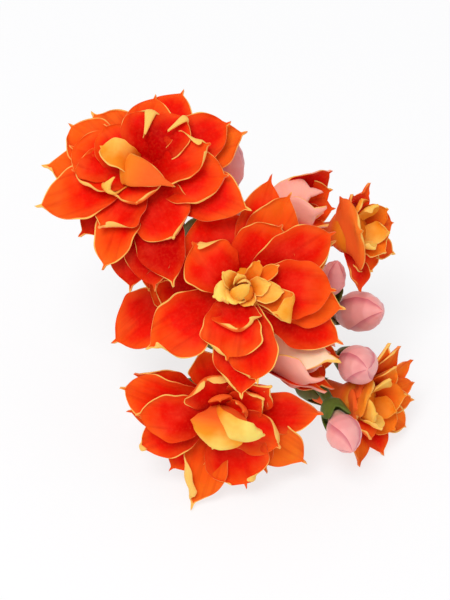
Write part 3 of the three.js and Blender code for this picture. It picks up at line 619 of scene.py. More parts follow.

# %% [markdown]
# ## The flowers
# Every petal that the eye can tell apart in an open flower has its own line: layer, turn round the
# flower, reach, rise, width, slope at the root and slope at the tip, where a slope past 90 degrees
# rolls the petal back over the heart. After these come extras for a petal that is odd in some way:
# `sway` shifts its tip sideways, `via` gives the middle of its curve, `curls` roll its margin,
# `hook` bends its tip between two stations, `tail` draws it out, `blunt` closes it less sharply,
# `claw` sets the breadth of its root, `gold` gilds it from root to tip, and the extra for warmth
# turns its red toward orange, while below zero it deepens the red as painted shade on petals that
# lie in shade. A flower whose heart shows between its petals has that gilded too, by `heart_gold`.
# Setting petals one by one, rather than by a spiral rule, is what makes a double flower look grown:
# no two of its petals do the same thing.

# %% Flowers, petal by petal
FLOWERS = {
  "bloom_top_left": {
    "kind": "front",
    "throat": [-8.2, 12.8, 0],
    "facing": [-0.22, 0.25, 0.94],
    "petals": [
      [0, 69, 9.6, -0.9, 5.4, 10, -14],
      [0, 132, 8.9, -0.3, 5.6, 12, -10, {"warm": 0.4}],
      [0, 174, 11.1, -1.0, 5.0, 10, -14, {"warm": 0.4}],
      # The low petals at 222, 263, 276, 287 and 298 degrees are darkened by a value below zero: painted
      # shade where they lie in the flower's shadow.
      [0, 222, 9.2, -2.0, 5.0, 2, -16, {"warm": -0.5}],
      [0, 247, 10.7, -0.8, 5.0, 10, -12, {"sway": 0.6, "warm": 0.3}],
      [0, 263, 11.7, -3.4, 5.8, 2, -18, {"warm": -0.7}],
      [0, 276, 11.7, -3.0, 5.2, 2, -18, {"warm": -0.5, "blunt": 0.6}],
      [0, 287, 12.0, -2.2, 5.4, 2, -16, {"warm": -0.4}],
      [0, 341, 11.8, -1.1, 5.4, 8, -12],
      [0, 23, 11.2, -1.1, 5.6, 8, -14, {"warm": 0.4}],
      [1, 83, 8.0, 0.6, 5.0, 28, -8],
      [1, 162, 9.3, 0.4, 5.6, 26, -10, {"sway": -2.4, "warm": 0.3}],
      [1, 205, 11.4, 0.3, 5.8, 24, -10, {"sway": -1.2, "warm": 0.3}],
      [1, 243, 7.3, 1.2, 6.6, 30, 20, {"sway": -0.6, "curls": [(1, 0.86, 0.1, 120)]}],
      [1, 298, 8.2, 0.6, 6.4, 26, 24, {"warm": -0.2}],
      [1, 344, 9.0, 0.7, 6.2, 28, 0, {"sway": 1.8, "curls": [(-1, 0.7, 0.2, 90)]}],
      [1, 26, 10.2, 0.5, 5.6, 26, -6, {"sway": 0.6}],
      [2, 4, 7.6, 2.3, 5.4, 48, 6, {"sway": 1.6, "curls": [(1, 0.85, 0.12, 130), (-1, 0.9, 0.1, 100)]}],
      [2, 43, 9.0, 2.9, 4.6, 52, 10, {"sway": 0.1, "hook": (165, 0.74, 0.82), "tail": (0.76, 0.42)}],
      [2, 77, 7.8, 3.4, 5.2, 58, 16, {"sway": -0.1, "hook": (172, 0.7, 0.77), "tail": (0.74, 0.6)}],
      [2, 142, 5.6, 2.5, 5.0, 54, 14, {"sway": -1.0}],
      [2, 172, 7.6, 1.8, 5.6, 44, 0, {"sway": -1.2}],
      [2, 197, 6.6, 2.3, 5.0, 50, 8, {"sway": -1.6, "curls": [(1, 0.75, 0.25, 120)]}],
      [2, 273, 4.1, 2.6, 5.4, 58, 30, {"curls": [(-1, 0.8, 0.15, 90)]}],
      [3, 172, -4.7, 3.2, 3.3, 0, 0,
       {"via": ((2.6, 1.0), (1.5, 4.9)), "sway": 2.0, "gold": (1.8, -0.4), "tail": (0.95, 0.25),
        "blunt": 0.8, "claw": 0.9, "curls": [(-1, 0.6, 0.12, 50)]}],
      [3, 156, 3.9, 3.4, 2.9, 0, 0,
       {"via": ((0.4, 3.9), (2.0, 5.0)), "gold": (0.4, 1.0), "blunt": 0.5, "claw": 0.9}],
      [3, 222, 2.4, 3.6, 2.0, 0, 0,
       {"via": ((3.0, 1.4), (5.2, 3.0)), "gold": (0.8, 1.0), "tail": (0.8, 0.4)}],
    ],
  },
  "bloom_middle": {
    "kind": "front",
    "throat": [1.5, 1.0, 0],
    "facing": [0.1, 0, 0.995],
    "heart_gold": 0.8,
    "petals": [
      [0, 74, 12.2, -1.2, 4.6, 8, -14],
      [0, 62, 11.2, -0.8, 5.2, 10, -12, {"warm": 0.4}],
      [0, 24, 11.1, -1.5, 4.8, 6, -12, {"sway": 0.6, "warm": 0.4}],
      [0, 350, 10.9, -0.3, 5.2, 14, -10, {"warm": 0.3}],
      [0, 333, 12.0, -1.6, 5.2, 6, -12],
      [0, 266, 10.9, 0.3, 5.4, 8, -12, {"sway": 0.9, "curls": [(-1, 0.8, 0.12, 110)]}],
      [0, 212, 11.2, -0.4, 6.4, 12, -12, {"curls": [(1, 0.88, 0.07, 160)], "warm": 0.3}],
      [0, 117, 9.2, -0.4, 7.0, 14, -8, {"sway": -0.6}],
      [1, 64, 7.8, 0.7, 6.4, 28, 10, {"sway": -0.9}],
      [1, 34, 11.3, 0.2, 5.6, 22, -6, {"sway": -0.5}],
      [1, 4, 9.6, 1.0, 6.0, 30, -6, {"sway": -0.7}],
      [1, 280, 9.6, 0.7, 5.4, 26, -8, {"curls": [(-1, 0.88, 0.08, 110)]}],
      [2, 252, 7.2, 1.7, 6.2, 40, 4, {"sway": 0.8, "curls": [(-1, 0.86, 0.1, 150)], "blunt": 0.5}],
      [2, 146, 6.8, 1.9, 5.8, 46, 24, {"sway": -1.2, "curls": [(-1, 0.9, 0.09, 170)]}],
      [2, 254, 3.9, 3.0, 5.0, 58, 80, {"sway": 0.6, "curls": [(1, 0.7, 0.2, 140)]}],
      [2, 346, 3.2, 3.2, 3.0, 0, 0,
       {"via": ((3.4, 1.2), (7.2, 2.6)), "sway": -1.5, "gold": (0.0, 1.1)}],
      [3, 176, 2.9, 2.3, 2.5, 46, -10, {"sway": 0.9, "gold": (0.5, 2.0), "curls": [(1, 0.8, 0.1, 90)]}],
      [3, 214, 1.9, 2.1, 1.7, 50, -30, {"gold": (0.4, 1.8), "blunt": 0.4}],
      [3, 138, 2.7, 2.5, 1.7, 46, -10, {"gold": (0.5, 1.1), "blunt": 0.4}],
      [3, 108, 1.7, 3.1, 1.4, 62, 0, {"gold": (0.5, 1.2), "blunt": 0.4}],
      [3, 52, 3.3, 2.7, 1.5, 48, -20, {"gold": (0.3, 0.6), "blunt": 0.35, "sway": 0.5}],
      [3, 34, 4.4, 2.3, 1.5, 42, -20,
       {"gold": (0.2, 0.4), "blunt": 0.35, "curls": [(-1, 0.6, 0.3, 60)]}],
      [3, 12, 2.9, 2.6, 1.9, 50, -10, {"gold": (0.4, 1.2)}],
      [3, 352, 4.2, 2.2, 2.2, 40, -20, {"gold": (0.4, 1.1), "sway": 0.4}],
      [3, 305, 1.9, 2.0, 1.8, 46, -20, {"gold": (0.3, 1.2)}],
      [3, 258, 1.4, 2.3, 1.3, 62, 0, {"gold": (0.4, 1.5)}],
      [3, 78, 0.9, 3.2, 1.4, 78, 60, {"gold": (0.4, 1.0), "blunt": 0.4}],
      [3, 222, -0.8, 2.9, 1.5, 0, 0,
       {"via": ((1.3, 2.0), (0.8, 3.5)), "gold": (0.6, 1.3), "blunt": 0.4}],
      [3, 330, -0.4, 2.7, 1.5, 0, 0,
       {"via": ((1.1, 1.9), (0.8, 3.2)), "gold": (0.3, 0.7), "blunt": 0.4}],
    ],
  },
  "bloom_lower": {
    "kind": "front",
    "throat": [-0.3, -10.8, -4.6],
    "facing": [0, -0.42, 0.907],
    "petals": [
      [0, 165, 9.6, -0.6, 4.2, 10, -12, {"sway": -1.0}],
      [0, 188, 10.0, -1.4, 4.8, 4, -14],
      [0, 235, 9.6, -0.5, 4.8, 12, -12],
      [0, 254, 11.7, 1.7, 5.2, 12, 6, {"curls": [(-1, 0.7, 0.25, 160)], "warm": 0.5}],
      [0, 301, 9.2, -0.3, 4.8, 12, -10, {"warm": 0.4}],
      [0, 322, 11.2, -0.2, 5.4, 12, -10, {"warm": 0.6}],
      [0, 38, 6.4, 3.4, 5.0, 40, 20],
      [0, 108, 6.8, -0.2, 4.2, 14, -6],
      [1, 172, 10.7, 0.5, 5.2, 24, -8, {"sway": -1.0}],
      [1, 208, 10.7, 0.2, 4.6, 24, -14, {"hook": (140, 0.84, 0.92), "tail": (0.88, 0.4)}],
      [1, 286, 9.4, 1.1, 6.6, 28, 4,
       {"warm": 0.1, "blunt": 0.4, "curls": [(-1, 0.86, 0.08, 150), (1, 0.86, 0.08, 170)]}],
      [1, 357, 10.4, 0.5, 5.2, 26, -8, {"warm": 0.1}],
      [1, 36, 5.4, 2.6, 4.8, 50, 30],
      [2, 188, 8.8, 1.7, 5.2, 42, 0, {"sway": -1.2}],
      [2, 112, 4.4, 2.3, 6.0, 54, 60, {"curls": [(-1, 0.8, 0.15, 130)]}],
      [2, 327, 7.2, 1.8, 5.4, 44, 10, {"curls": [(1, 0.75, 0.3, 100)]}],
      [2, 28, 4.8, 2.8, 4.0, 58, 30],
      [3, 74, -3.5, 2.9, 5.8, 0, 0,
       {"via": ((0.6, 3.6), (-0.8, 4.7)), "gold": (-1.0, 1.6), "blunt": 0.45}],
      [3, 158, -4.7, 2.9, 2.8, 0, 0,
       {"via": ((0.7, 4.2), (-2.0, 5.2)), "gold": (0.3, 2.2), "blunt": 0.4,
        "curls": [(-1, 0.9, 0.1, 80)]}],
      [3, 95, 2.0, 3.0, 2.6, 72, 120],
      [3, 20, 2.2, 2.9, 2.6, 70, 110],
    ],
  },
  "bloom_upper_right": {
    "kind": "side",
    "throat": [13.1, 7.2, -10],
    "facing": [0.78, 0.1, 0.62],
    "heart_gold": 0.6,
    "petals": [
      [0, 68, 5.4, 1.6, 2.8, 34, 10, {"tail": (0.8, 0.5)}],
      [0, 9, 4.9, 2.2, 4.4, 34, 0, {"warm": 0.3}],
      [0, 335, 6.0, 1.6, 2.8, 30, -10, {"warm": 0.3}],
      [0, 296, 4.9, 0.8, 4.2, 26, -10, {"warm": 0.2}],
      [0, 270, 6.5, 0.6, 3.2, 26, -10, {"warm": -0.2}],
      [0, 190, 2.6, 3.3, 7.6, 60, 70, {"warm": 0.2, "gold": (-0.8, 0.4)}],
      [0, 110, 3.9, 1.6, 4.0, 36, 10],
      [1, 36, 3.6, 3.0, 3.2, 50, 20, {"gold": (0.0, 0.6)}],
      [1, 310, 3.4, 2.8, 3.2, 50, 20, {"gold": (0.0, 0.6)}],
      [1, 112, 3.2, 2.9, 4.0, 52, 40, {"gold": (-0.4, 0.8)}],
      [2, 78, 2.2, 3.6, 2.4, 66, 80, {"gold": (0.8, 1.1)}],
      [2, 345, 2.0, 3.6, 2.4, 66, 80, {"gold": (0.8, 1.1)}],
      [2, 264, 2.1, 3.2, 2.8, 62, 70, {"gold": (0.8, 1.4)}],
    ],
  },
  "bloom_lower_right": {
    "kind": "side",
    "throat": [14.0, -10.6, -10.4],
    "facing": [0.78, -0.2, 0.6],
    "heart_gold": 0.6,
    "petals": [
      [0, 84, 6.8, 2.0, 3.0, 30, -6, {"warm": 1.0}],
      [0, 66, 7.0, 2.0, 3.2, 30, -6, {"warm": 0.9}],
      [0, 43, 7.2, 2.3, 3.0, 30, -6, {"warm": 1.0}],
      [0, 22, 6.6, 2.6, 2.8, 30, -6, {"warm": 1.1}],
      [0, 5, 6.5, 2.6, 2.8, 30, -6, {"warm": 1.0}],
      [0, 338, 6.8, 2.4, 3.2, 30, -6, {"warm": 1.0}],
      [0, 302, 6.6, 1.9, 2.8, 30, -6],
      [0, 275, 6.9, 1.0, 2.8, 24, -10, {"warm": 0.9}],
      [0, 190, 2.4, 1.7, 3.6, 48, 60],
      [0, 126, 2.8, 1.5, 3.2, 40, 30, {"warm": 0.9}],
      [1, 72, 4.6, 3.0, 3.4, 46, 10, {"gold": (0.0, 0.6)}],
      [1, 18, 4.2, 3.2, 3.4, 46, 10, {"gold": (0.0, 0.6)}],
      [1, 322, 4.2, 2.9, 3.4, 46, 10, {"gold": (0.0, 0.6)}],
      [1, 262, 3.5, 2.7, 3.2, 48, 30, {"warm": 0.3}],
      [1, 152, 2.8, 3.0, 4.2, 56, 60, {"gold": (-0.2, 0.8)}],
      [2, 88, 3.1, 3.5, 2.8, 58, 40, {"gold": (0.9, 1.3)}],
      [2, 268, 2.2, 3.5, 2.8, 60, 50, {"gold": (0.9, 1.3)}],
      [2, 350, 2.0, 3.6, 2.4, 66, 80, {"gold": (0.5, 0.8)}],
      [2, 196, 1.6, 3.6, 3.4, 72, 100, {"gold": (0.5, 1.2)}],
    ],
  },
  "bloom_opening_top": {
    "kind": "half_open",
    "throat": [5.0, 9.4, -8],
    "facing": [0.94, 0.15, 0.3],
    "petals": [
      [0, 146, 1.4, 5.9, 4.6, 84, 100, {"tail": (0.86, 0.45)}],
      [0, 212, 2.0, 6.3, 4.6, 84, 100, {"tail": (0.86, 0.4), "hook": (40, 0.8, 1.0)}],
      [0, 276, 2.6, 5.6, 4.4, 78, 70],
      [1, 52, 3.7, 6.3, 5.2, 68, 40, {"sway": 0.6, "warm": -0.3}],
      [1, 24, 3.1, 5.9, 4.4, 72, 60],
      [1, 345, 3.0, 5.9, 4.4, 72, 60],
      [2, 60, 1.2, 5.2, 3.0, 84, 90],
      [2, 300, 1.2, 5.2, 3.0, 84, 90],
    ],
  },
  "bloom_opening_low": {
    "kind": "half_open",
    "throat": [4.6, -5.2, -6.5],
    "facing": [0.92, -0.25, 0.25],
    "petals": [
      [0, 150, 2.0, 8.0, 4.4, 84, 90, {"warm": 0.9, "tail": (0.88, 0.4), "hook": (20, 0.85, 1.0)}],
      [0, 222, 2.2, 6.9, 4.6, 84, 100, {"tail": (0.84, 0.4), "hook": (50, 0.8, 1.0)}],
      [0, 282, 2.8, 6.8, 4.6, 78, 70, {"tail": (0.84, 0.4)}],
      [1, 90, 2.4, 6.6, 4.4, 78, 80],
      [1, 22, 3.0, 6.8, 4.6, 74, 60],
      [1, 318, 3.6, 7.0, 4.6, 70, 50, {"tail": (0.84, 0.4)}],
      [2, 180, 0.9, 6.0, 3.2, 86, 110],
      [2, 60, 1.4, 6.2, 3.4, 84, 90],
      [2, 300, 1.4, 6.0, 3.4, 84, 90],
    ],
  },
  "bloom_left": {
    "kind": "behind",
    "throat": [-3.6, 1.8, -7.4],
    "facing": [-0.35, 0, 0.93],
    "petals": [
      [0, 215, 11.2, -1.0, 6.2, 12, -12, {"warm": 0.2}],
      [0, 262, 6.0, -0.4, 5.0, 14, -4],
      [0, 158, 6.0, -0.6, 5.0, 12, -10],
      [0, 100, 5.0, -0.2, 5.0, 16, 0],
      [1, 250, 5.0, 0.5, 4.8, 30, 4],
      [1, 190, 4.6, 0.5, 4.8, 30, 0],
      [1, 128, 4.6, 0.5, 4.8, 30, 0],
      [2, 222, 3.4, 1.8, 4.2, 54, 50],
      [2, 290, 3.2, 2.0, 4.2, 62, 80],
      [2, 20, 2.2, 2.6, 4.0, 74, 90],
    ],
  },
}

petals = sum(len(flower["petals"]) for flower in FLOWERS.values())
print(len(FLOWERS), "flowers with", petals, "petals")

# %% [markdown]
# ## Growing the flowers
# The petals alone would leave a hole where they meet, so each flower starts with its tube and the
# swollen heart at the tube's mouth, and the petals' roots are sunk in that. Flowers near the eye
# get more stations along each petal than those at the back, where nobody could tell the difference.

# %% Tubes, hearts and petals
TUBE_LENGTH = 6.0
TUBE_SIDES = 32
TUBE_PALER = -1.5  # under this height the tube is a little paler than at its mouth,
TUBE_ALONG = 0.2  # namely as pale as a petal is this far along
TUBE_TONE = -0.1
NO_MARGIN_NEAR = 2.0  # a tube is farther than this from any margin, in millimetres
TUBE = [(1.0, -TUBE_LENGTH), (1.3, -5.2), (1.4, -4.2), (1.3, -2.2)]  # radius and height
OPEN_HEART = [(2.2, -1.0), (2.5, 0.1), (2.1, 0.8), (1.0, 1.2)]
CLOSED_HEART = [(1.8, -0.8), (2.0, 0.4), (1.4, 1.2), (0.8, 1.6)]
SEEN_CLOSE = (44, 12)  # stations along a petal and columns from its middle to its margin
SEEN_FAR = (30, 8)
KINDS = {  # heart, finish and how finely the petals are drawn
    "front": (OPEN_HEART, petal_open, SEEN_CLOSE),
    "side": (OPEN_HEART, petal_side, SEEN_FAR),
    "half_open": (CLOSED_HEART, petal_closed, SEEN_FAR),
    "behind": (OPEN_HEART, petal_open, SEEN_FAR),
}


def grow_tube(growth, spot, profile, heart_gold):
    """The flower's tube and the heart at its mouth, out of which the petals stand."""
    rings, marks = [], []
    for radius, height in profile:
        angles = circle(TUBE_SIDES)
        rings.append([around(spot, a, radius, height) for a in angles])
        along = TUBE_ALONG if height < TUBE_PALER else 0.0
        back, gold = (1.0, 0.0) if height < 0 else (0.0, heart_gold)
        marks.append([
            (along, NO_MARGIN_NEAR, back, 0.0, TUBE_TONE, radius * math.sin(a), gold, 0.0)
            for a in angles
        ])
    growth.skin(rings, marks)


for number, (name, flower) in enumerate(FLOWERS.items()):
    heart, finish, fine = KINDS[flower["kind"]]
    spot = frame_of(flower["throat"], flower["facing"])
    growth = Growth(*PETAL_MARKS)
    grow_tube(growth, spot, TUBE + heart, flower.get("heart_gold", 0.0))
    draw = random.Random(100 + number)
    for row in flower["petals"]:
        grow_petal(growth, spot, row, draw, fine)
    finish_piece(growth.piece(name + "_petals", finish), name)

# %% [markdown]
# ## The skin of a bud
# What shows of a closed bud is the pink underside of its petals: matte, paler in clouds, deeper in
# the seams and yellow-green where it leaves its calyx. The petal's recipe would do, but a bud has no
# face or margin to tell apart, so a shorter one reads just the height and the distance to a seam.

# %% Bud material
BUD_CLOUD_MM = 1.67  # from one pale patch of a bud to the next
BUD_DENT = 0.04  # how deep its skin is dented


def bud_skin(tree):
    """Matte pink living tissue: paler in clouds, deeper pink in the seams."""
    seam = node(tree, "Attribute", attribute_name="seam", out="Fac")
    height = node(tree, "Attribute", attribute_name="along", out="Fac")
    place = node(tree, "TexCoord", out="Object")
    cloud = {"Vector": place, "Scale": 1 / (BUD_CLOUD_MM * MM), "Detail": 4.0}
    cloud = node(tree, "TexNoise", cloud, "Fac")
    body = node(tree, "Mix", {"Factor": cloud, COLOUR_A: "#EA8C90", COLOUR_B: "#F9B6AC"}, **COLOURS)
    dark = node(tree, "MapRange", {"Value": seam, "From Max": 0.3, "To Min": 0.8, "To Max": 0.0})
    seamed = node(tree, "Mix", {"Factor": dark, COLOUR_A: body, COLOUR_B: "#C8556A"}, **COLOURS)
    foot = node(tree, "MapRange", {"Value": height, "From Max": 0.3, "To Min": 0.7, "To Max": 0.0})
    colour = {"Factor": foot, COLOUR_A: seamed, COLOUR_B: "#B9A46A"}
    return {
        "Base Color": node(tree, "Mix", colour, **COLOURS),
        "Roughness": 0.5,
        "IOR": PETAL_IOR,
        "Subsurface Weight": 0.25,
        "Subsurface Radius": (1.0, 0.5, 0.4),
        "Subsurface Scale": 0.6 * MM,
        "Sheen Weight": 0.2,
        "Normal": node(tree, "Bump", {"Strength": 0.2, "Distance": BUD_DENT * MM, "Height": cloud}),
    }


bud_pink = material_of("kalanchoe_bud_pink", bud_skin)

# %% [markdown]
# ## The shape of a bud
# A closed bud is four petals wound round each other like a furled umbrella, so its surface climbs
# slowly round the bud and drops where one petal's margin ends over the next. A saw-tooth added to
# a turned shape gives those margins as real steps. Carving them with a bump map would lose them at
# the bud's outline.

# %% Bud shapes
BUDS = {  # foot, the way it points, length and greatest radius
    "bud_top": ((-0.4, 10.4, -6.4), (0.2, 0.85, 0.48), 7.0, 1.7),
    "bud_right_1": ((10.7, 0.4, -11.4), (0.2, 0.74, 0.64), 5.0, 1.45),
    "bud_right_2": ((12.0, -1.2, -16), (0.6, 0.0, 0.8), 7.6, 2.2),
    "bud_right_3": ((12.9, -6.3, -9.9), (0.25, -0.12, 0.96), 6.4, 2.05),
    "bud_low": ((11.4, -11.9, -7.3), (0.3, -0.68, 0.67), 5.3, 1.8),
    "bud_under": ((-3.0, -9.8, -15.4), (-0.93, -0.2, -0.31), 6.5, 1.9),
}
SWELL = [  # height and radius, as parts of its length and its greatest radius
    (0, 0.45), (0.12, 0.58), (0.28, 0.84), (0.45, 1.0), (0.62, 0.94), (0.78, 0.7), (0.9, 0.36), (1, 0.02)
]
BUD_STATIONS, BUD_SIDES = 48, 96
WOUND_PETALS = 4
WINDING = 0.8  # how far a seam climbs round the bud on its way up, in breadths of a petal
SEAM_HIGH = 0.09  # how far a margin stands over the next petal, as a part of the radius
SEAM_CLEAR = 2.5  # the seams reach that height at 1 / 2.5 of the way up
SEAM_WIDE = 0.12  # the part of a petal's breadth over which its surface drops to the next
SEAM_TOP, SEAM_SLOPE = 0.38, 7.3  # where that drop starts, and how steep it is


def swell(t):
    """How wide the bud is at t of its height, as a part of its widest."""
    for (t0, r0), (t1, r1) in zip(SWELL, SWELL[1:]):
        if t <= t1:
            k = (t - t0) / (t1 - t0)
            k = k * k * (3 - 2 * k) * 0.5 + k * 0.5  # half eased, half straight
            return r0 + (r1 - r0) * k
    return SWELL[-1][1]


def grow_bud(growth, foot, pointing, length, radius):
    """Adds one bud, with a step at the margin of each of its wound petals."""
    spot = frame_of(foot, pointing)
    rings, marks = [], []
    for s in range(BUD_STATIONS):
        t = s / BUD_STATIONS
        ring, ring_marks = [], []
        for i in range(BUD_SIDES):
            saw = WOUND_PETALS * i / BUD_SIDES % 1.0
            climb = saw - 0.5 if saw > SEAM_WIDE else SEAM_TOP - SEAM_SLOPE * saw
            angle = 2 * math.pi * (i / BUD_SIDES - WINDING * t / WOUND_PETALS)
            r = radius * swell(t) * (1 + SEAM_HIGH * min(1.0, SEAM_CLEAR * t) * climb)
            ring.append(around(spot, angle, r, t * length))
            ring_marks.append((t, saw))
        rings.append(ring)
        marks.append(ring_marks)
    growth.skin(rings, marks, tip=(around(spot, 0, 0, length), (1.0, 0.5)))


for name, shape in BUDS.items():
    growth = Growth("along", "seam")
    grow_bud(growth, *shape)
    finish_piece(growth.piece(name + "_wound", bud_pink), name)

# %% [markdown]
# ## The skin of the stalk
# The stalk is fleshy and waxy, the green of the whole plant, flushed with red where the sun reached
# it. The wax keeps the highlight broad and weak. At its far end it was cut, and the cut is pale and
# wet. That face could be a piece of its own, but it grew as one with the stalk, so the material
# finds it instead: it is what faces straight back and lies far back.

# %% Stalk material
FLUSH_MM = 6.25  # from one red flush of the stalk to the next
MOTTLE_MM = 0.67  # from one darker fleck to the next
CUT_FACING = (-0.14, 0.99, -0.05)  # the way the stalk runs out at its cut
CUT_FROM = 22.0  # nothing else lies as far back as this
WAX_IOR = 1.45  # plant wax


def stem_skin(tree):
    """Waxy and green, with a red flush in patches and pale at the cut."""
    place = node(tree, "TexCoord", out="Object")
    cloud, mottle = [
        node(tree, "TexNoise", {"Vector": place, "Scale": 1 / (size * MM), "Detail": detail}, "Fac")
        for size, detail in ((FLUSH_MM, 4.0), (MOTTLE_MM, 2.0))
    ]
    green = node(tree, "Mix", {"Factor": mottle, COLOUR_A: "#41561C", COLOUR_B: "#6B7E30"}, **COLOURS)
    flush = node(tree, "MapRange", {"Value": cloud, "From Min": 0.45, "From Max": 0.7, "To Max": 0.6})
    skin = node(tree, "Mix", {"Factor": flush, COLOUR_A: green, COLOUR_B: "#7A4A30"}, **COLOURS)

    normal = node(tree, "TexCoord", out="Normal")
    squarely = node(tree, "VectorMath", {0: normal, 1: CUT_FACING}, "Value", operation="DOT_PRODUCT")
    squarely = node(tree, "MapRange", {"Value": squarely, "From Min": 0.75, "From Max": 0.9})
    far_back = node(tree, "SeparateXYZ", {"Vector": place}, "Y")
    far_back = node(tree, "Math", {0: far_back, 1: CUT_FROM * MM}, operation="GREATER_THAN")
    cut = node(tree, "Math", {0: squarely, 1: far_back}, operation="MULTIPLY")
    colour = {"Factor": cut, COLOUR_A: skin, COLOUR_B: "#B4BC7C"}
    return {
        "Base Color": node(tree, "Mix", colour, **COLOURS),
        "Roughness": 0.5,
        "IOR": WAX_IOR,
        "Specular IOR Level": 0.25,
        "Subsurface Weight": 0.1,
        "Subsurface Radius": (0.4, 1.0, 0.2),
        "Subsurface Scale": 0.6 * MM,
        "Normal": node(tree, "Bump", {"Strength": 0.3, "Distance": 0.05 * MM, "Height": mottle}),
    }


stem_green = material_of("fleshy_green_stem", stem_skin)

# %% [markdown]
# ## Stems
# The stems are round and fleshy, and each bends in one slow curve. A curve object with a bevel would
# draw them too, but rings keep them in the head's own frame, like all else that grows here.

# %% Stems
STEM_SIDES = 16


def grow_stem(growth, points, start, end, steps):
    """A round stem along a curve through four points, from one radius to another."""
    points = [Vector(p) for p in points]
    rings = []
    level = None
    for s in range(steps + 1):
        middle, going = bezier(*points, s / steps)
        if level is None:
            level = going.orthogonal().normalized()
        level = (level - going * level.dot(going)).normalized()
        wing = going.cross(level)
        radius = start + (end - start) * s / steps
        angles = circle(STEM_SIDES)
        rings.append([middle + level * radius * math.cos(a) + wing * radius * math.sin(a) for a in angles])
    growth.skin(rings)


trial = Growth()
grow_stem(trial, [(0, 0, z) for z in range(4)], 1.0, 0.5, 2)
print("a stem of two stretches has", len(trial.points), "points")

# %% [markdown]
# ## Calyxes
# Each flower or bud stands in a cup of four pointed sepals. The cup is drawn from a few rings, and
# each ring runs out to the tips of the sepals and in to the notches between them. Four separate
# leaves would be closer to the plant, but of so small a cup only the points can be seen.

# %% Cups
CUP_SIDES = 64
SEPALS = 4
SEPAL_POINT = 1.6  # how sharply they close
SEAT_GAP = 0.3  # between a flower's foot and the cup that carries it
SOCKET = -2.0  # the height in a cup's foot at which its stalk ends


def cup_ring(spot, turn, tip, notch):
    """A ring of the cup that runs out to its sepals' tips and in to the notches between them."""
    points = []
    for i in range(CUP_SIDES):
        degrees = i * 360 / CUP_SIDES
        k = abs(math.cos(SEPALS / 2 * math.radians(degrees))) ** SEPAL_POINT
        radius, height = [low + (high - low) * k for high, low in zip(tip, notch)]
        points.append(around(spot, math.radians(turn + degrees), radius, height))
    return points


def grow_cup(growth, foot, facing, girth, tall, turn):
    """A calyx round the foot of a flower or bud. Returns where its stalk meets it, and its facing."""
    spot = frame_of(foot, facing)
    profile = [  # radius and height of the sepals' tips, and of the notches between them
        ((0.5, -2.2), (0.5, -2.2)),
        ((1.3, -1.3), (1.2, -1.3)),
        ((girth + 0.35, 0.5), (1.5, -0.1)),
        ((girth + 0.4, tall), (1.5, 0.2)),
        ((girth, 0.8), (1.4, 0.0)),
        ((1.3, -SEAT_GAP), (1.2, -SEAT_GAP)),
    ]
    growth.skin([cup_ring(spot, turn, tip, notch) for tip, notch in profile])
    return around(spot, 0, 0, SOCKET), spot[3]


print("a cup of", SEPALS, "sepals has", CUP_SIDES, "points round it")

# %% [markdown]
# ## Melted into one
# All the green of the head grew as one. So its stems and cups are drawn as plain closed skins that
# overlap, and a voxel remesh melts them together and rounds every fork as the plant does. Joining
# them with booleans would leave a hard crease there.

# %% Melting
VOXEL_MM = 0.14  # fine enough for the points of the sepals
ROUNDINGS = 3  # how many times the melted skin is smoothed


def melt(made):
    """Turns overlapping closed skins into one, and rounds the forks between them."""
    rough = made.data
    remesh = made.modifiers.new("melt", "REMESH")
    remesh.mode, remesh.voxel_size, remesh.use_smooth_shade = "VOXEL", VOXEL_MM * MM, True
    made.modifiers.new("round", "SMOOTH").iterations = ROUNDINGS
    depsgraph = bpy.context.evaluated_depsgraph_get()
    made.data = bpy.data.meshes.new_from_object(made.evaluated_get(depsgraph), depsgraph=depsgraph)
    made.modifiers.clear()
    bpy.data.meshes.remove(rough)


print("the melted skin is built from cells", VOXEL_MM, "mm wide")

# %% [markdown]
# ## Where the stalk forks
# The stalk forks like a candelabra. Its five forks are placed one by one in the room behind the
# flowers, because a branching rule would run its stems through them.

# %% Forks
FORKS = {  # where each fork is, and which one carries it
    "main": ((1, 1, -21), None),
    "left": ((-4, 6, -14.5), "main"),
    "right": ((5.5, 2.5, -17), "main"),
    "low": ((1.6, -5.5, -15.5), "main"),
    "low_right": ((6.5, -6.5, -15), "low"),
}
CARRIED = {  # which fork carries each flower and bud, and how its cup is turned, in degrees
    "bloom_top_left": ("left", 20),
    "bloom_middle": ("main", 45),
    "bloom_lower": ("low", 0),
    "bloom_upper_right": ("right", 30),
    "bloom_lower_right": ("low_right", 15),
    "bloom_opening_top": ("left", 0),
    "bloom_opening_low": ("low", 40),
    "bloom_left": ("main", 10),
    "bud_top": ("left", 30),
    "bud_right_1": ("right", 0),
    "bud_right_2": ("right", 45),
    "bud_right_3": ("low_right", 20),
    "bud_low": ("low_right", 60),
    "bud_under": ("low", 10),
}
CUT_STALK = [FORKS["main"][0], (0.8, 1, -25), (-1.2, 8.5, -35.5), (-2.5, 14.6, -42.2)]
print(len(FORKS), "forks carry", len(CARRIED), "flowers and buds")

# %% [markdown]
# ## The whole stalk
# Each slim stalk leaves its flower straight back and then bends down to the fork that carries it,
# and a branch sags a little between two forks. Stalks that ran straight would look like wire. All
# of them and their cups go into one mesh, which is melted at the end.

# %% Stalk
PEDICEL, BRANCH, STALK = 0.6, 0.95, 1.5  # radius of a slim stalk, a branch and the stalk's cut end
PEDICEL_SWELLS = 1.2  # how much thicker a slim stalk is where it leaves its fork
STEM_STATIONS, STALK_STATIONS = 20, 40
BOW = Vector((0, 0, -1.5))  # how far a branch sags between its forks, and where along it
BOWED = (0.35, 0.7)
STRAIGHT = 0.42  # the part of a slim stalk that runs straight on from its cup
RISING = 0.3  # and the part that rises from its fork before it turns
SAG = 0.08  # how far its lower end bows down, as a part of its length
FLOWER_CUP = (1.2, 2.3)  # the girth inside a flower's cup, and how tall it is
BUD_CUP = (1.25, 1.3)

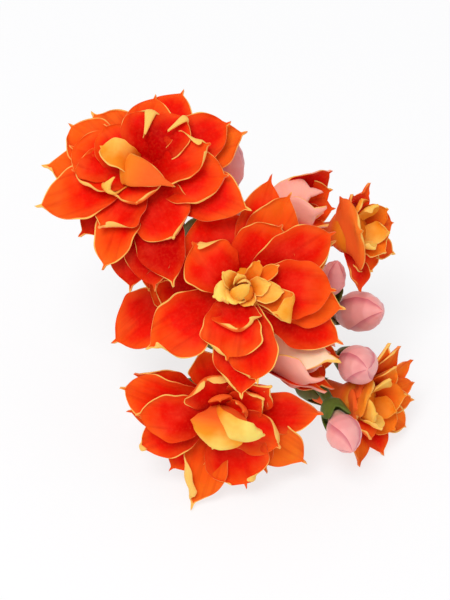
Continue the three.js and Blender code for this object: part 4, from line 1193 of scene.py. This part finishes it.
stalk_growth = Growth()
grow_stem(stalk_growth, CUT_STALK, BRANCH, STALK, STALK_STATIONS)
for at, parent in FORKS.values():
    if parent:
        start, end = Vector(FORKS[parent][0]), Vector(at)
        points = [start, *[start.lerp(end, k) + BOW for k in BOWED], end]
        grow_stem(stalk_growth, points, BRANCH, BRANCH, STEM_STATIONS)
for name, (fork, turn) in CARRIED.items():
    at = Vector(FORKS[fork][0])
    if name in FLOWERS:
        facing, cup = FLOWERS[name]["facing"], FLOWER_CUP
        foot = around(frame_of(FLOWERS[name]["throat"], facing), 0, 0, -TUBE_LENGTH)
    else:
        (foot, facing), cup = BUDS[name][:2], BUD_CUP
    end, out = grow_cup(stalk_growth, foot, facing, *cup, turn)
    far = (at - end).length
    leave = end - out * STRAIGHT * far
    start = at.lerp(end, RISING) + Vector((0, 0, -SAG * far))
    grow_stem(stalk_growth, [at, start, leave, end], PEDICEL * PEDICEL_SWELLS, PEDICEL, STEM_STATIONS)

stalk = stalk_growth.piece("stalk_green", stem_green)
melt(stalk)
finish_piece(stalk, "stalk")

# %% [markdown]
# ## Surface
# The head lies on a light table: a sheet of opal acrylic with a lamp under it. The glowing sheet
# keeps the shadow pale and sends some light into the flowers from below, which keeps the reds full
# between the petals. A lamp under a see-through sheet would do the same with much more noise, so
# the sheet itself glows.

# %% Light table
GLOW = 0.7  # how bright the lamp under the sheet makes it
SPAN = 1.5  # metres each way, beyond anything that the camera sees
TOOTH_MM = 1.11  # its matte top is far finer, drawn this coarse so that it shows at all
ACRYLIC_IOR = 1.49


def opal_acrylic(tree):
    """Milky acrylic that glows and is matte on top."""
    place = node(tree, "TexCoord", out="Object")
    tooth = {"Vector": place, "Scale": 1 / (TOOTH_MM * MM), "Detail": 3.0}
    tooth = node(tree, "TexNoise", tooth, "Fac")
    return {
        "Base Color": "#8E8E90",
        "Roughness": 0.75,
        "IOR": ACRYLIC_IOR,
        "Emission Color": "#FFFFFF",
        "Emission Strength": GLOW,
        "Normal": node(tree, "Bump", {"Strength": 0.05, "Distance": 0.05 * MM, "Height": tooth}),
    }


table_mesh = bpy.data.meshes.new("light_table")
corners = [(-SPAN, -SPAN, 0), (SPAN, -SPAN, 0), (SPAN, SPAN, 0), (-SPAN, SPAN, 0)]
table_mesh.from_pydata(corners, [], [(0, 1, 2, 3)])
table_mesh.materials.append(material_of("opal_acrylic_light_table", opal_acrylic))
table = bpy.data.objects.new("light_table", table_mesh)
bpy.context.scene.collection.objects.link(table)
print("light table:", 2 * SPAN, "m square")

# %% [markdown]
# ## Light and camera
# The table stands in a light tent, whose white cloth lights the head evenly from all round, and one
# soft box from the upper left gives the petals their faint shade. The camera looks down along the
# head's own axis, so the flowers face it while their stalk hides behind them. It stands 220 mm away
# with a long lens, close enough that the near flowers look a little larger than those behind.

# %% Light tent, soft box and camera
TENT = 0.6  # brightness of the tent's cloth all round
AIM = THROAT * MM
KEY_AT = (-0.1, -0.2, 0.45)
KEY_SIZE, KEY_POWER = 0.2, 1.25  # metres and watts
CAMERA_AWAY = 0.22
LENS, SENSOR = 132.0, 36.0  # millimetres
NEAREST, FARTHEST = 0.01, 10.0  # what the camera sees, in metres

scene = bpy.context.scene
scene.view_settings.view_transform = "Standard"
scene.world = bpy.data.worlds.new("light_tent")
scene.world.use_nodes = True
scene.world.node_tree.nodes.clear()
cloth = node(scene.world.node_tree, "Background", {"Color": "#FFFFFF", "Strength": TENT})
node(scene.world.node_tree, "OutputWorld", {"Surface": cloth})

soft_box = bpy.data.lights.new("key", "AREA")
soft_box.size, soft_box.energy = KEY_SIZE, KEY_POWER
key = bpy.data.objects.new("key", soft_box)
key.location = KEY_AT
key.rotation_euler = (AIM - Vector(KEY_AT)).to_track_quat("-Z", "Y").to_euler()
scene.collection.objects.link(key)

camera = bpy.data.cameras.new("camera")
camera.lens, camera.sensor_width = LENS, SENSOR
camera.clip_start, camera.clip_end = NEAREST, FARTHEST
view = Vector((0, -math.sin(LEAN), math.cos(LEAN)))
eye = bpy.data.objects.new("camera", camera)
eye.location = AIM + view * CAMERA_AWAY
eye.rotation_euler = (-view).to_track_quat("-Z", "Y").to_euler()
scene.collection.objects.link(eye)
scene.camera = eye
print("camera at", [round(v, 3) for v in eye.location])
